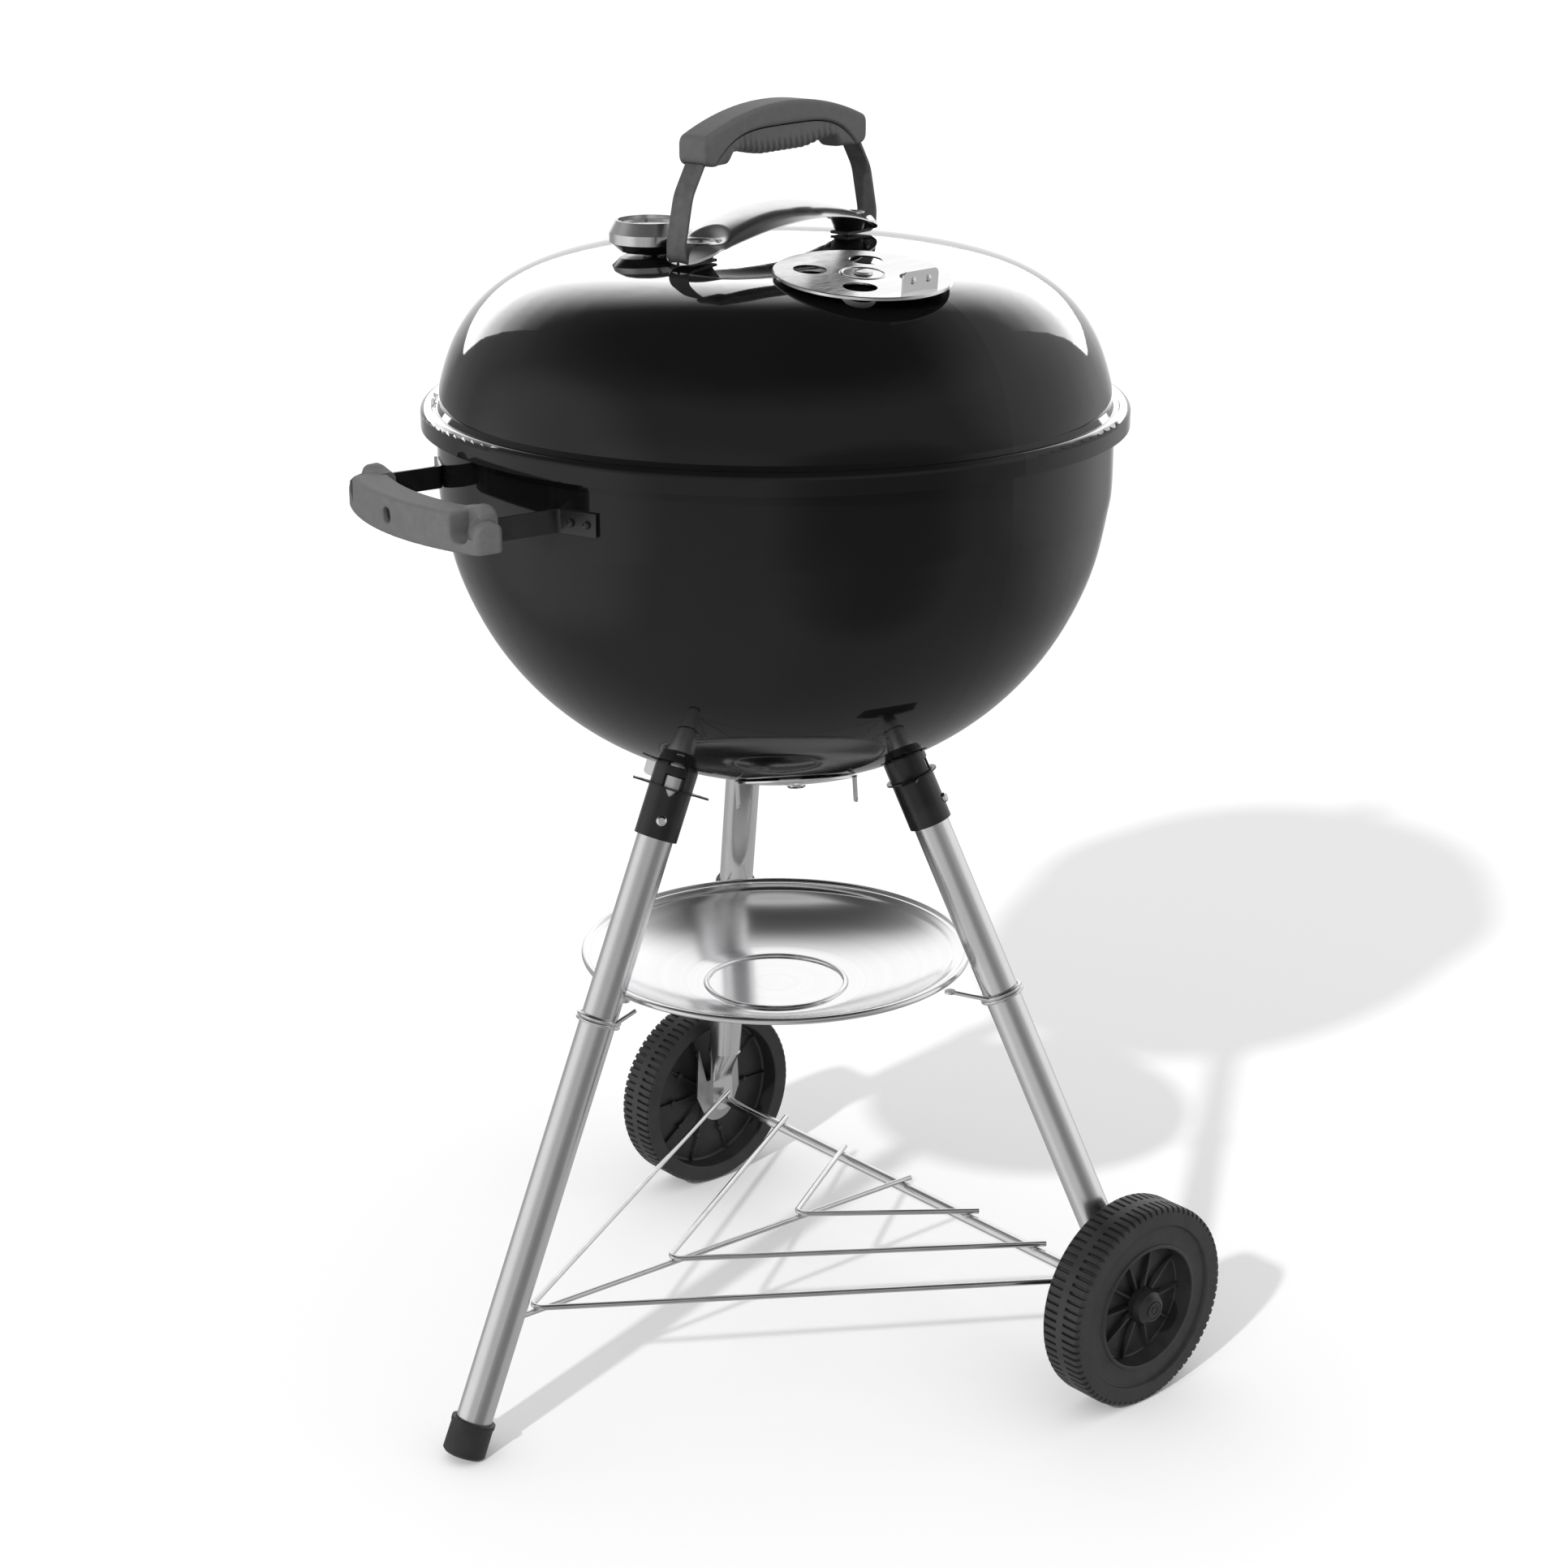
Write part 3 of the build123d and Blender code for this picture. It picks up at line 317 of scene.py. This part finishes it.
def tube(path, radius, sides=12, closed=False):
    """Round wire along a list of points."""
    count = len(path)
    points = []
    side = None
    for i, here in enumerate(path):
        before = path[i - 1] if (i > 0 or closed) else here
        after = path[(i + 1) % count] if (i < count - 1 or closed) else here
        run = (after - before).normalized()
        if side is None:
            side = run.orthogonal().normalized()
        side = (side - run * side.dot(run)).normalized()
        other = run.cross(side)
        for j in range(sides):
            angle = 2 * math.pi * j / sides
            points.append(here + (side * math.cos(angle) + other * math.sin(angle)) * radius)
    return points, grid_faces(count, sides, wrap_rows=True) if closed else capped_faces(count, sides)


def apply_modifiers(piece):
    graph = bpy.context.evaluated_depsgraph_get()
    mesh = bpy.data.meshes.new_from_object(piece.evaluated_get(graph))
    piece.modifiers.clear()
    piece.data = mesh


VOXEL = 0.9 * mm                  # cell of the remesh that the grips are moulded from
SOFT_SHARP = 60                   # degrees: the grips stay smooth below this


def moulded(node, rounds, shape=None):
    """A moulded copy of a CAD piece: remeshed finely, its edges softened, then shaped."""
    copy = add_object("moulded_" + node, nodes[node].data.copy())
    remesh = copy.modifiers.new("remesh", "REMESH")
    remesh.mode = "VOXEL"
    remesh.voxel_size = VOXEL
    smooth = copy.modifiers.new("smooth", "SMOOTH")
    smooth.iterations = rounds
    smooth.factor = 0.5
    apply_modifiers(copy)
    if shape:
        count = len(copy.data.vertices)
        places = np.zeros(count * 3)
        copy.data.vertices.foreach_get("co", places)
        places = shape(places.reshape(-1, 3))
        copy.data.vertices.foreach_set("co", places.ravel())
    copy.data.materials.clear()
    copy.data.materials.append(finish_of(node))
    copy.data.shade_smooth()
    copy.data.set_sharp_from_angle(angle=math.radians(SOFT_SHARP))
    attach(copy, nodes[node]["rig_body"])
    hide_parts(node)


def smoothstep(low, high, value):
    share = np.clip((value - low) / (high - low), 0, 1)
    return share * share * (3 - 2 * share)


# ---- wheels ----
LUGS = 78
LUG_STEPS = (0.0, 0.60, 0.68, 0.92)   # share of a lug's pitch: the crest, then the groove
GROOVE = 2.2 * mm
SPOKES = 10


def wheel_place(side):
    """Place whose local Z runs outboard from the wheel's inboard face."""
    turn = Matrix(((0, 0, side), (1, 0, 0), (0, 1, 0))).to_4x4()
    return Matrix.Translation((side * WHEEL_IN, AXLE.y, AXLE.z)) @ turn


def wheel_shell(place):
    """Tyre and web in one closed profile of (radius, height, 1 where the tread's grooves cut in)."""
    width = WHEEL_OUT - WHEEL_IN
    big = WHEEL_R
    tread = [
        (big - 1.6 * mm, 0.6 * mm, 0), (big - 0.5 * mm, 1.6 * mm, 1), (big, 4.0 * mm, 1),
        (big, 13.6 * mm, 1), (big, 14.0 * mm, 0), (big, 19.9 * mm, 0), (big, 20.3 * mm, 1),
        (big, width - 3.6 * mm, 1), (big - 0.6 * mm, width - 1.5 * mm, 1),
        (big - 2.0 * mm, width - 0.3 * mm, 1),
    ]
    outer_face = [
        (big - 4.0 * mm, width, 0), (big - 13.2 * mm, width, 0),
        (big - 14.0 * mm, width - 0.9 * mm, 0), (big - 14.5 * mm, width - 2.4 * mm, 0),
        (big - 15.4 * mm, width - 2.7 * mm, 0), (47.4 * mm, width - 1.5 * mm, 0),
        (46.9 * mm, width - 0.5 * mm, 0), (46.2 * mm, width - 0.2 * mm, 0),
        (44.9 * mm, width - 0.2 * mm, 0), (44.3 * mm, width - 0.6 * mm, 0), (43.2 * mm, 24 * mm, 0),
        (42.6 * mm, 20.4 * mm, 0), (41.6 * mm, 19.6 * mm, 0), (38.4 * mm, 19.6 * mm, 0),
        (38.2 * mm, 19.2 * mm, 0), (12.5 * mm, 19.2 * mm, 0), (10.6 * mm, 20.2 * mm, 0),
        (10.0 * mm, 25.2 * mm, 0), (4.4 * mm, 25.2 * mm, 0),
    ]
    inner_face = [
        (4.4 * mm, 4.4 * mm, 0), (9.6 * mm, 4.4 * mm, 0), (10.2 * mm, 5.0 * mm, 0),
        (11.2 * mm, 15.2 * mm, 0), (59.0 * mm, 15.2 * mm, 0), (60.6 * mm, 14.0 * mm, 0),
        (61.6 * mm, 0.8 * mm, 0),
        (62.4 * mm, 0, 0), (big - 2.2 * mm, 0, 0),
    ]
    rows = inner_face + tread + outer_face
    points = []
    for radius, height, lug in rows:
        for tooth in range(LUGS):
            for corner, share in enumerate(LUG_STEPS):
                angle = 2 * math.pi * (tooth + share) / LUGS
                reach = radius - (GROOVE if lug and corner >= 2 else 0)
                spot = Vector((reach * math.cos(angle), reach * math.sin(angle), height))
                points.append(place @ spot)
    return points, grid_faces(len(rows), LUGS * len(LUG_STEPS), wrap_rows=True)


def rib(start, end, half, low, high_start, high_end, place):
    """Tapered rib lying along local X."""
    base = level_corners(start, end, half, low, low)
    crest = level_corners(start, end, half * 0.55, high_start, high_end)
    return prism((base, crest), place)


def wheel_ribs(place):
    """On each spoke: a rib outboard of the web, and a thinner one with a boss inboard of it."""
    parts = []
    boss = [(0, 15.6 * mm), (2.6 * mm, 15.6 * mm), (2.4 * mm, 12.0 * mm), (1.8 * mm, 11.6 * mm),
            (0, 11.6 * mm)]
    for spoke in range(SPOKES):
        turn = place @ Matrix.Rotation(2 * math.pi * spoke / SPOKES, 4, "Z")
        parts.append(rib(9 * mm, 43.6 * mm, 1.7 * mm, 18.8 * mm, 25.0 * mm, 22.2 * mm, turn))
        parts.append(rib(9 * mm, 61 * mm, 0.9 * mm, 15.6 * mm, 12.4 * mm, 12.8 * mm, turn))
        parts.append(spun(boss, 16, turn @ Matrix.Translation((38 * mm, 0, 0)), closed=False))
    return joined(*parts)


for side_name, side in (("right", 1), ("left", -1)):
    place = wheel_place(side)
    node = "wheel_" + side_name
    new_piece("tyre_" + side_name, *wheel_shell(place), WHEEL_PLASTIC, node, (node,), sharp=30)
    new_piece("wheel_ribs_" + side_name, *wheel_ribs(place), WHEEL_PLASTIC, node, slot=SLOT_OF[node])


# ---- grips ----
def turned(places, turn):
    """Rows of points turned about Z."""
    c, s = math.cos(turn), math.sin(turn)
    return places @ np.array(((c, s, 0), (-s, c, 0), (0, 0, 1)))


def to_handle(places, turn):
    """Row-frame points seen from a handle's own place."""
    return turned(places - np.array(KETTLE), -turn)


def from_handle(places, turn):
    return turned(places, turn) + np.array(KETTLE)


SIDE_GRIP_AT = 272.5 * mm         # the side grip's middle line, out from the kettle's axis
SIDE_GRIP_HALF = 10.5 * mm
LOBE_FROM, LOBE_TO = 76.2 * mm, 77.2 * mm


def shape_side_grip(places):
    """Round-topped lobes at the grip's two ends."""
    local = to_handle(places, SIDE_TURN)
    low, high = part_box("side_handle_grip")
    middle = (low.z + high.z) / 2
    across = np.abs(local[:, 0])
    rise = local[:, 2] - middle
    spring = -2.5 * mm
    off_line = (local[:, 1] + SIDE_GRIP_AT) / SIDE_GRIP_HALF
    arch = np.sqrt(np.clip(1 - off_line ** 2, 0, 1)) * 0.72
    lobe = smoothstep(LOBE_FROM, LOBE_TO, across)
    domed = np.where(rise > spring, spring + (rise - spring) * arch, rise)
    local[:, 2] = middle + rise + (domed - rise) * lobe
    return from_handle(local, SIDE_TURN)


def make_grip_lips():
    """Raised saddle behind each notch of the side grip, where the strap turns its corner."""
    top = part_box("side_handle_grip")[1].z
    place = handle_place(SIDE_TURN)
    # (distance along the grip, lift of the crest) and (distance from the axis, height), in mm
    stations = [(54, 0.4), (58, 1.0), (62, 1.9), (66, 2.9), (69, 3.4), (72, 3.5), (74.5, 2.9),
                (76.4, 1.2), (77.4, -1.4)]
    section = [(-276, -22), (-276, -3), (-275.2, -1), (-273, 0), (-267, 0.3), (-264.4, -0.6),
               (-263.2, -3), (-263.2, -22)]
    parts = []
    for side in (-1, 1):
        points = []
        for along, lift in stations:
            for back, height in section:
                rise = lift * max(0, 1 + height / 12)
                spot = Vector((side * along * mm, back * mm, top + (height + rise) * mm))
                points.append(place @ spot)
        parts.append((points, capped_faces(len(stations), len(section))))
    return joined(*parts)


PART_END = 77.1 * mm              # where the seam between the lid grip's halves ends
SEAM_RISE = 20.6 * mm             # of the moulding's seam, over the lower half's bottom
CAD_SEAM_RISE = 22.9 * mm
CAD_SEAM_R = 141.2 * mm           # the CAD seam is a round arc


def parting_height(along, bottom):
    """Height of the seam between the lid grip's two halves."""
    return bottom + SEAM_RISE * (1 - (np.abs(along) / PART_END) ** 4)


def shape_upper_grip(places):
    """Moves the CAD grip's round seam to the flatter one of the moulding."""
    local = to_handle(places, LID_TURN)
    bottom = bottom_of("lid_grip_lower")
    along = np.clip(local[:, 1], -PART_END, PART_END)
    seam = bottom + CAD_SEAM_RISE - (CAD_SEAM_R - np.sqrt(CAD_SEAM_R ** 2 - along ** 2))
    lift = parting_height(along, bottom) - seam
    near = smoothstep(seam + 9 * mm, seam, local[:, 2])
    local[:, 2] += lift * near * (np.abs(local[:, 1]) < PART_END)
    return from_handle(local, LID_TURN)


def make_lower_grip():
    """Lower half of the lid's grip: two feet, a notch by each, and a ribbed belly between them."""
    bottom = bottom_of("lid_grip_lower")
    place = handle_place(LID_TURN)
    half, end, pitch, rows, columns = 10.2 * mm, 75.5 * mm, 6.2 * mm, 241, 40
    points = []
    for i in range(rows):
        along = (2 * i / (rows - 1) - 1) * end
        far = abs(along)
        top = float(parting_height(along, bottom)) - 0.3 * mm
        low = bottom + 3.0 * mm + 4.0 * mm * float(smoothstep(20 * mm, 50 * mm, far))
        low -= 7.0 * mm * float(smoothstep(55 * mm, 62 * mm, far))
        fade = float(smoothstep(56 * mm, 46 * mm, far))
        for j in range(columns):
            angle = math.pi * j / (columns - 1)
            side = -math.copysign(abs(math.cos(angle)) ** 0.45, math.cos(angle))
            fall = math.sin(angle) ** 0.45
            across, height = half * side, top + (low - top) * fall
            slant = (along + 0.45 * (height - low)) / pitch
            wave = fade * (0.5 + 0.5 * math.cos(2 * math.pi * slant))
            wave *= float(smoothstep(low + 11 * mm, low + 5 * mm, height))
            raised = height + 0.9 * mm * wave * fall
            points.append(place @ Vector((across * (1 - 0.08 * wave), along, raised)))
    return points, capped_faces(rows, columns)


moulded("side_handle_grip", 9, shape_side_grip)
moulded("side_handle_insert", 6)
new_piece("side_grip_lips", *make_grip_lips(), GREY_PLASTIC, "grill",
          slot=SLOT_OF["side_handle_grip"], sharp=SOFT_SHARP)
# both halves of the lid grip take the darker plastic, with painted shade in its colour
moulded("lid_grip_upper", 8, shape_upper_grip)
new_piece("lid_grip_ribbed", *make_lower_grip(), SHADED_LID_PLASTIC, "lid", ("lid_grip_lower",),
          sharp=SOFT_SHARP)


# ---- heat shield, its bushes and the draught plate's pressings ----
CUP_AT = 83 * mm                  # the shield's cups and bushes, either side of the middle
SHIELD_TIP = 103 * mm
SHIELD_END = 20 * mm              # half width at the cups, and the radius of the round tips
SHIELD_SWELL = 10 * mm            # what the middle's half width adds to that
TIP_HALF = 1.2 * mm


def make_shield():
    """Crowned leaf of sheet steel with a cup pressed in at each end."""
    floor = bottom_of("heat_shield")
    place = handle_place(LID_TURN)
    crest, level, thick = floor + 23.2 * mm, floor + 5.4 * mm, 0.9 * mm
    rows, columns = 215, 41
    points = []
    for i in range(rows):
        # rows crowd together towards the tips
        along = SHIELD_TIP * math.sin(math.pi / 2 * math.sin(math.pi * (i / (rows - 1) - 0.5)))
        along = 0.35 * along + 0.65 * SHIELD_TIP * (2 * i / (rows - 1) - 1)
        far = abs(along)
        half = SHIELD_END + SHIELD_SWELL * (1 - min(far / CUP_AT, 1) ** 2)
        if far > CUP_AT:
            half = max(math.sqrt(max(SHIELD_END ** 2 - (far - CUP_AT) ** 2, 0)), TIP_HALF)
        arch = crest - 17 * mm * (far / CUP_AT) ** 2
        crown = (9.5 - 4.5 * min(far / CUP_AT, 1) ** 2) * mm
        ring = []
        for j in range(columns):
            across = half * (2 * j / (columns - 1) - 1)
            height = arch - crown * (across / half) ** 2
            reach = math.hypot(across, far - CUP_AT)
            blend = float(smoothstep(22 * mm, 12.5 * mm, reach))
            height += (level - height) * blend
            lip = smoothstep(13.5 * mm, 12 * mm, reach) * smoothstep(10 * mm, 11.5 * mm, reach)
            height += 0.7 * mm * float(lip)
            height -= (level - floor - 1.0 * mm) * float(smoothstep(11 * mm, 8.4 * mm, reach))
            ring.append((across, along, height))
        points += [place @ Vector(p) for p in ring]
        points += [place @ Vector((x, y, z - thick)) for x, y, z in reversed(ring)]
    return points, capped_faces(rows, 2 * columns)


def make_bushes():
    """Tapered black cups that hold the shield's ends."""
    floor = bottom_of("lid_handle_bushes")
    outline = [(3.1, 0), (9.6, 0), (10.3, 0.8), (11.0, 3.4), (13.2, 8.6), (13.2, 9.6), (12.4, 9.6),
               (10.2, 5.4), (3.1, 5.4)]
    profile = [(r * mm, floor + z * mm) for r, z in outline]
    place = handle_place(LID_TURN)
    return joined(*[spun(profile, 64, place @ Matrix.Translation((0, side * CUP_AT, 0)))
                    for side in (-1, 1)])


DAMPER_TOP = 2.8 * mm             # the plate's upper face over its joint
TAB_AT = 53.1 * mm                # the finger tab's face, out from the rivet
TAB_MIDDLE = 8.5 * mm             # and the middle of its height over the plate


def make_damper_pressings():
    """Two round pressings in the finger tab and a raised ring round the plate's rivet."""
    joints = frame["record"]["behaviour"]["joints"]
    turn = next(row for row in joints if row["name"] == "lid_damper_turn")
    up = Vector(turn["axis"]).normalized()
    out = (Vector((1, 0, 0)) - up * up.x).normalized()
    side = up.cross(out)
    place = (Matrix.Translation(Vector(turn["pos_m"]))
             @ Matrix((out, side, up)).transposed().to_4x4())
    dome = [(0, 0.9), (1.3, 0.75), (2.1, 0.3), (2.5, -0.2), (0, -0.2)]
    parts = []
    for step in (-6.5, 6.5):
        spot = place @ Matrix.Translation((TAB_AT, step * mm, DAMPER_TOP + TAB_MIDDLE))
        spot = spot @ Matrix.Rotation(math.pi / 2, 4, "Y")
        parts.append(spun([(r * mm, z * mm) for r, z in dome], 24, spot, closed=False))
    ridge = [(12.6, -0.2), (13.2, 0.35), (14.2, 0.6), (15.2, 0.35), (15.8, -0.2)]
    parts.append(spun([(r * mm, DAMPER_TOP + z * mm) for r, z in ridge], 96, place))
    return joined(*parts)


new_piece("shield_leaf", *make_shield(), SHIELD_METAL, "lid", ("heat_shield",), sharp=50)
new_piece("shield_bushes", *make_bushes(), BLACK_PLASTIC, "lid", ("lid_handle_bushes",), sharp=40)
new_piece("damper_pressings", *make_damper_pressings(), PLATE_METAL, "lid_damper",
          slot=SLOT_OF["lid_damper"])


# ---- ash pan ----
BAND_R = 139.9                    # outer radius that the pan's rim is drawn at


def make_pan():
    """Spun dish: raised ring in the floor, slope, and a rim with two beads."""
    floor = PAN_LOW.z
    wall = 1.2 * mm
    slope = [(50 * mm, floor + wall)]
    upper = [(55, 0.4), (66, 2.0), (80, 5.2), (95, 9.6), (108, 14.6), (119, 20.0), (125, 23.4),
             (127.5, 24.4)]
    slope += [(r * mm, floor + wall + h * mm) for r, h in upper]
    # (radius, depth below the rim's top), in mm
    band = [(129.0, 3.2), (131.6, 3.0), (132.2, 2.3), (133.0, 2.1), (134.8, 2.1), (135.6, 1.2),
            (136.6, 0.3), (137.8, 0.0), (139.0, 0.5), (139.7, 1.6), (139.9, 2.6), (139.5, 3.8),
            (138.6, 4.4), (137.6, 4.4), (136.6, 3.6), (133.5, 3.5), (131.5, 4.3), (128.6, 4.8)]
    outline = [(PAN_R * r / BAND_R, PAN_HIGH.z - d * mm) for r, d in band]
    under = [(r + 0.2 * mm, z - wall) for r, z in reversed(slope)]
    ring = [(48.2, 0.2), (48.6, 1.5), (49.6, 2.2), (50.8, 2.2), (51.8, 1.5), (52.4, 0.5)]
    middle = [(0, floor + wall)] + [(r * mm, floor + wall + h * mm) for r, h in ring]
    profile = middle + slope[1:] + outline + under[:-1] + [(50 * mm, floor), (0, floor)]
    return spun(profile, 256, Matrix.Translation(KETTLE), closed=False)


new_piece("ash_pan_dish", *make_pan(), SPUN_METAL, "grill", ("ash_pan",), sharp=50)


# ---- grates ----
RING_STEPS = 120


def make_grate_wires(node, step, wire_r, bars):
    """Hoop, thinner wires along Y at every step, and cross bars under them at each y in bars."""
    low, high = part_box(node)
    level = high.z - wire_r
    middle = (high.x - low.x) / 2 - wire_r
    centre = Vector((0, KETTLE.y, level))
    parts = []
    ring = [centre + Vector((middle * math.cos(a), middle * math.sin(a), 0))
            for a in (2 * math.pi * i / RING_STEPS for i in range(RING_STEPS))]
    parts.append(tube(ring, wire_r, closed=True))
    thin = wire_r * 0.8
    count = int(0.88 * (middle + wire_r) // step)
    for index in range(-count, count + 1):
        x = index * step
        reach = math.sqrt(middle ** 2 - x ** 2)
        parts.append(tube([centre + Vector((x, -reach, 0)), centre + Vector((x, reach, 0))], thin))
    drop = -wire_r * 1.6
    for y in bars:
        reach = math.sqrt(middle ** 2 - y ** 2)
        ends = [centre + Vector((-reach, y, drop)), centre + Vector((reach, y, drop))]
        parts.append(tube(ends, thin))
    return joined(*parts)


new_piece("cooking_grate_welded",
          *make_grate_wires("cooking_grate", 17 * mm, 2.5 * mm, (-80 * mm, 80 * mm)),
          GRATE_METAL, "cooking_grate", ("cooking_grate", "cooking_grate_wires"), merge=False)
new_piece("charcoal_grate_welded",
          *make_grate_wires("charcoal_grate", 24 * mm, 3 * mm, (-60 * mm, 60 * mm)),
          GRATE_METAL, "charcoal_grate", ("charcoal_grate", "charcoal_grate_wires"), merge=False)


# ---- thermometer dial marks ----
MARKS = 23
MARK_FROM, MARK_STEP = -50, 12.7  # degrees
MARK_END = 19 * mm
MARK_THICK = 0.2 * mm


def make_dial_marks():
    """Raised scale marks, long and short by turns."""
    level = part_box("thermometer_dial")[1].z - MARK_THICK / 2
    parts = []
    for mark in range(MARKS):
        angle = math.radians(MARK_FROM + mark * MARK_STEP)
        long = mark % 2 == 0
        start, half = (14.5 if long else 16.5) * mm, (0.45 if long else 0.25) * mm
        place = Matrix.Translation((THERMO.x, THERMO.y, 0)) @ Matrix.Rotation(angle, 4, "Z")
        base = level_corners(start, MARK_END, half, level, level)
        crest = [(x, y, z + MARK_THICK) for x, y, z in base]
        parts.append(prism((base, crest), place))
    return joined(*parts)


new_piece("thermometer_marks", *make_dial_marks(), INK, "lid", slot="needle_black")


# ---- studio ----
CAMERA_TURN = math.radians(49.42)
CAMERA_BACK = 2.0554
CAMERA_UP = 1.1185
CAMERA_TILT = math.radians(18.507)
CAMERA_YAW = math.radians(-0.16)
CAMERA_LENS = 70.32
KEY_TURN, KEY_UP = 20.6, 33.8     # degrees, as in heading()
KEY_POWER = 1.7
KEY_WIDTH = math.radians(2.2)
FLOOR_HALF = 60
PANEL_AIM = Vector((0, 0, 0.75))
MIRROR_BASE = 0.42                # mid grey that glossy surfaces reflect
AROUND = 0.91                     # light on everything that isn't a mirror


def heading(turn, up):
    """Direction towards a place round the object: turn as for the camera, up above the horizon."""
    a, e = math.radians(turn), math.radians(up)
    return Vector((math.sin(a) * math.cos(e), -math.cos(a) * math.cos(e), math.sin(e)))


def make_camera():
    data = bpy.data.cameras.new("camera")
    data.lens = CAMERA_LENS
    data.sensor_width = 36.0
    data.clip_end = 200
    camera = add_object("camera", data)
    camera.location = KETTLE + Vector((CAMERA_BACK * math.sin(CAMERA_TURN),
                                       -CAMERA_BACK * math.cos(CAMERA_TURN), CAMERA_UP))
    camera.rotation_euler = (math.pi / 2 - CAMERA_TILT, 0, CAMERA_TURN + CAMERA_YAW)
    bpy.context.scene.camera = camera


def make_floor():
    mesh = bpy.data.meshes.new("floor")
    mesh.from_pydata(level_corners(-FLOOR_HALF, FLOOR_HALF, FLOOR_HALF, 0, 0), [], [(0, 1, 2, 3)])
    floor = add_object("floor", mesh)
    paint = bpy.data.materials.new("floor_white")
    paint.use_nodes = True
    shader = paint.node_tree.nodes["Principled BSDF"]
    shader.inputs["Base Color"].default_value = (0.9, 0.9, 0.9, 1)
    shader.inputs["Roughness"].default_value = 1.0
    shader.inputs["Specular IOR Level"].default_value = 0.0
    mesh.materials.append(paint)
    floor.visible_glossy = False


def make_key_light():
    data = bpy.data.lights.new("key", "SUN")
    data.energy = KEY_POWER
    data.angle = KEY_WIDTH
    key = add_object("key", data)
    key.rotation_euler = heading(KEY_TURN, KEY_UP).to_track_quat("Z", "Y").to_euler()
    key.visible_glossy = False


def make_soft_box(name, turn, up, away, wide, high, power, edge):
    """Large panel that only the enamel reflects, fading over its share edge up to its top."""
    data = bpy.data.lights.new(name, "AREA")
    data.shape = "RECTANGLE"
    data.size = wide
    data.size_y = high
    data.energy = power
    data.use_nodes = True
    tree = data.node_tree
    emission = tree.nodes["Emission"]
    place = tree.nodes.new("ShaderNodeNewGeometry")
    split = tree.nodes.new("ShaderNodeSeparateXYZ")
    wire(tree, place, "Parametric", split, "Vector")
    fade = add_node(tree, "ShaderNodeMapRange", From_Min=1.0, From_Max=1.0 - edge,
                    To_Min=0.0, To_Max=1.0)
    fade.interpolation_type = "SMOOTHSTEP"
    wire(tree, split, "Y", fade, "Value")
    wire(tree, fade, "Result", emission, "Strength")
    box = add_object(name, data)
    direction = heading(turn, up)
    box.location = KETTLE + PANEL_AIM + direction * away
    box.rotation_euler = direction.to_track_quat("Z", "Y").to_euler()
    box.visible_camera = False
    box.visible_diffuse = False
    enamelled = bpy.data.collections.new(name + "_receivers")
    for node in ("bowl", "lid"):
        enamelled.objects.link(nodes[node])
    box.light_linking.receiver_collection = enamelled


def make_world():
    """White surroundings; in reflections, soft light and dark bands on mid grey."""
    world = bpy.data.worlds.new("studio")
    bpy.context.scene.world = world
    world.use_nodes = True
    tree = world.node_tree
    tree.nodes.clear()
    place = tree.nodes.new("ShaderNodeTexCoord")
    total = None
    # where each band is, the cosines it fades between, and what it adds to the grey
    bands = [
        (heading(229, 16), 0.78, 0.96, 0.75),
        (heading(20, -30), 0.60, 0.96, 0.14),
        (heading(82, -18), 0.80, 0.96, -0.22),
        (heading(330, -5), 0.70, 0.95, 0.45),
        (heading(165, 15), 0.62, 0.95, 0.50),
        (heading(0, 89), 0.42, 0.90, -0.36),
    ]
    for direction, low, high, power in bands:
        toward = vector_math(tree, "DOT_PRODUCT", direction)
        wire(tree, place, "Generated", toward, 0)
        soft = add_node(tree, "ShaderNodeMapRange", From_Min=low, From_Max=high,
                        To_Min=0.0, To_Max=power)
        soft.interpolation_type = "SMOOTHSTEP"
        wire(tree, toward, "Value", soft, "Value")
        add = tree.nodes.new("ShaderNodeMath")
        add.operation = "ADD"
        add.inputs[1].default_value = MIRROR_BASE
        wire(tree, soft, "Result", add, 0)
        if total:
            wire(tree, total, "Value", add, 1)
        total = add
    white = (1, 1, 1, 1)
    mirror = add_node(tree, "ShaderNodeBackground", Color=white)
    wire(tree, total, "Value", mirror, "Strength")
    around = add_node(tree, "ShaderNodeBackground", Color=white, Strength=AROUND)
    behind = add_node(tree, "ShaderNodeBackground", Color=white, Strength=1.0)
    ray = tree.nodes.new("ShaderNodeLightPath")
    first = tree.nodes.new("ShaderNodeMixShader")
    second = tree.nodes.new("ShaderNodeMixShader")
    out = tree.nodes.new("ShaderNodeOutputWorld")
    wire(tree, ray, "Is Glossy Ray", first, 0)
    wire(tree, around, "Background", first, 1)
    wire(tree, mirror, "Background", first, 2)
    wire(tree, ray, "Is Camera Ray", second, 0)
    wire(tree, first, "Shader", second, 1)
    wire(tree, behind, "Background", second, 2)
    wire(tree, second, "Shader", out, "Surface")
    world.cycles.sampling_method = "NONE"


make_camera()
make_floor()
make_key_light()
make_soft_box("back_panel", 229, 30, 3.0, 5.5, 2.6, 280, 1.0)
make_world()
bpy.context.scene.view_settings.view_transform = "Standard"
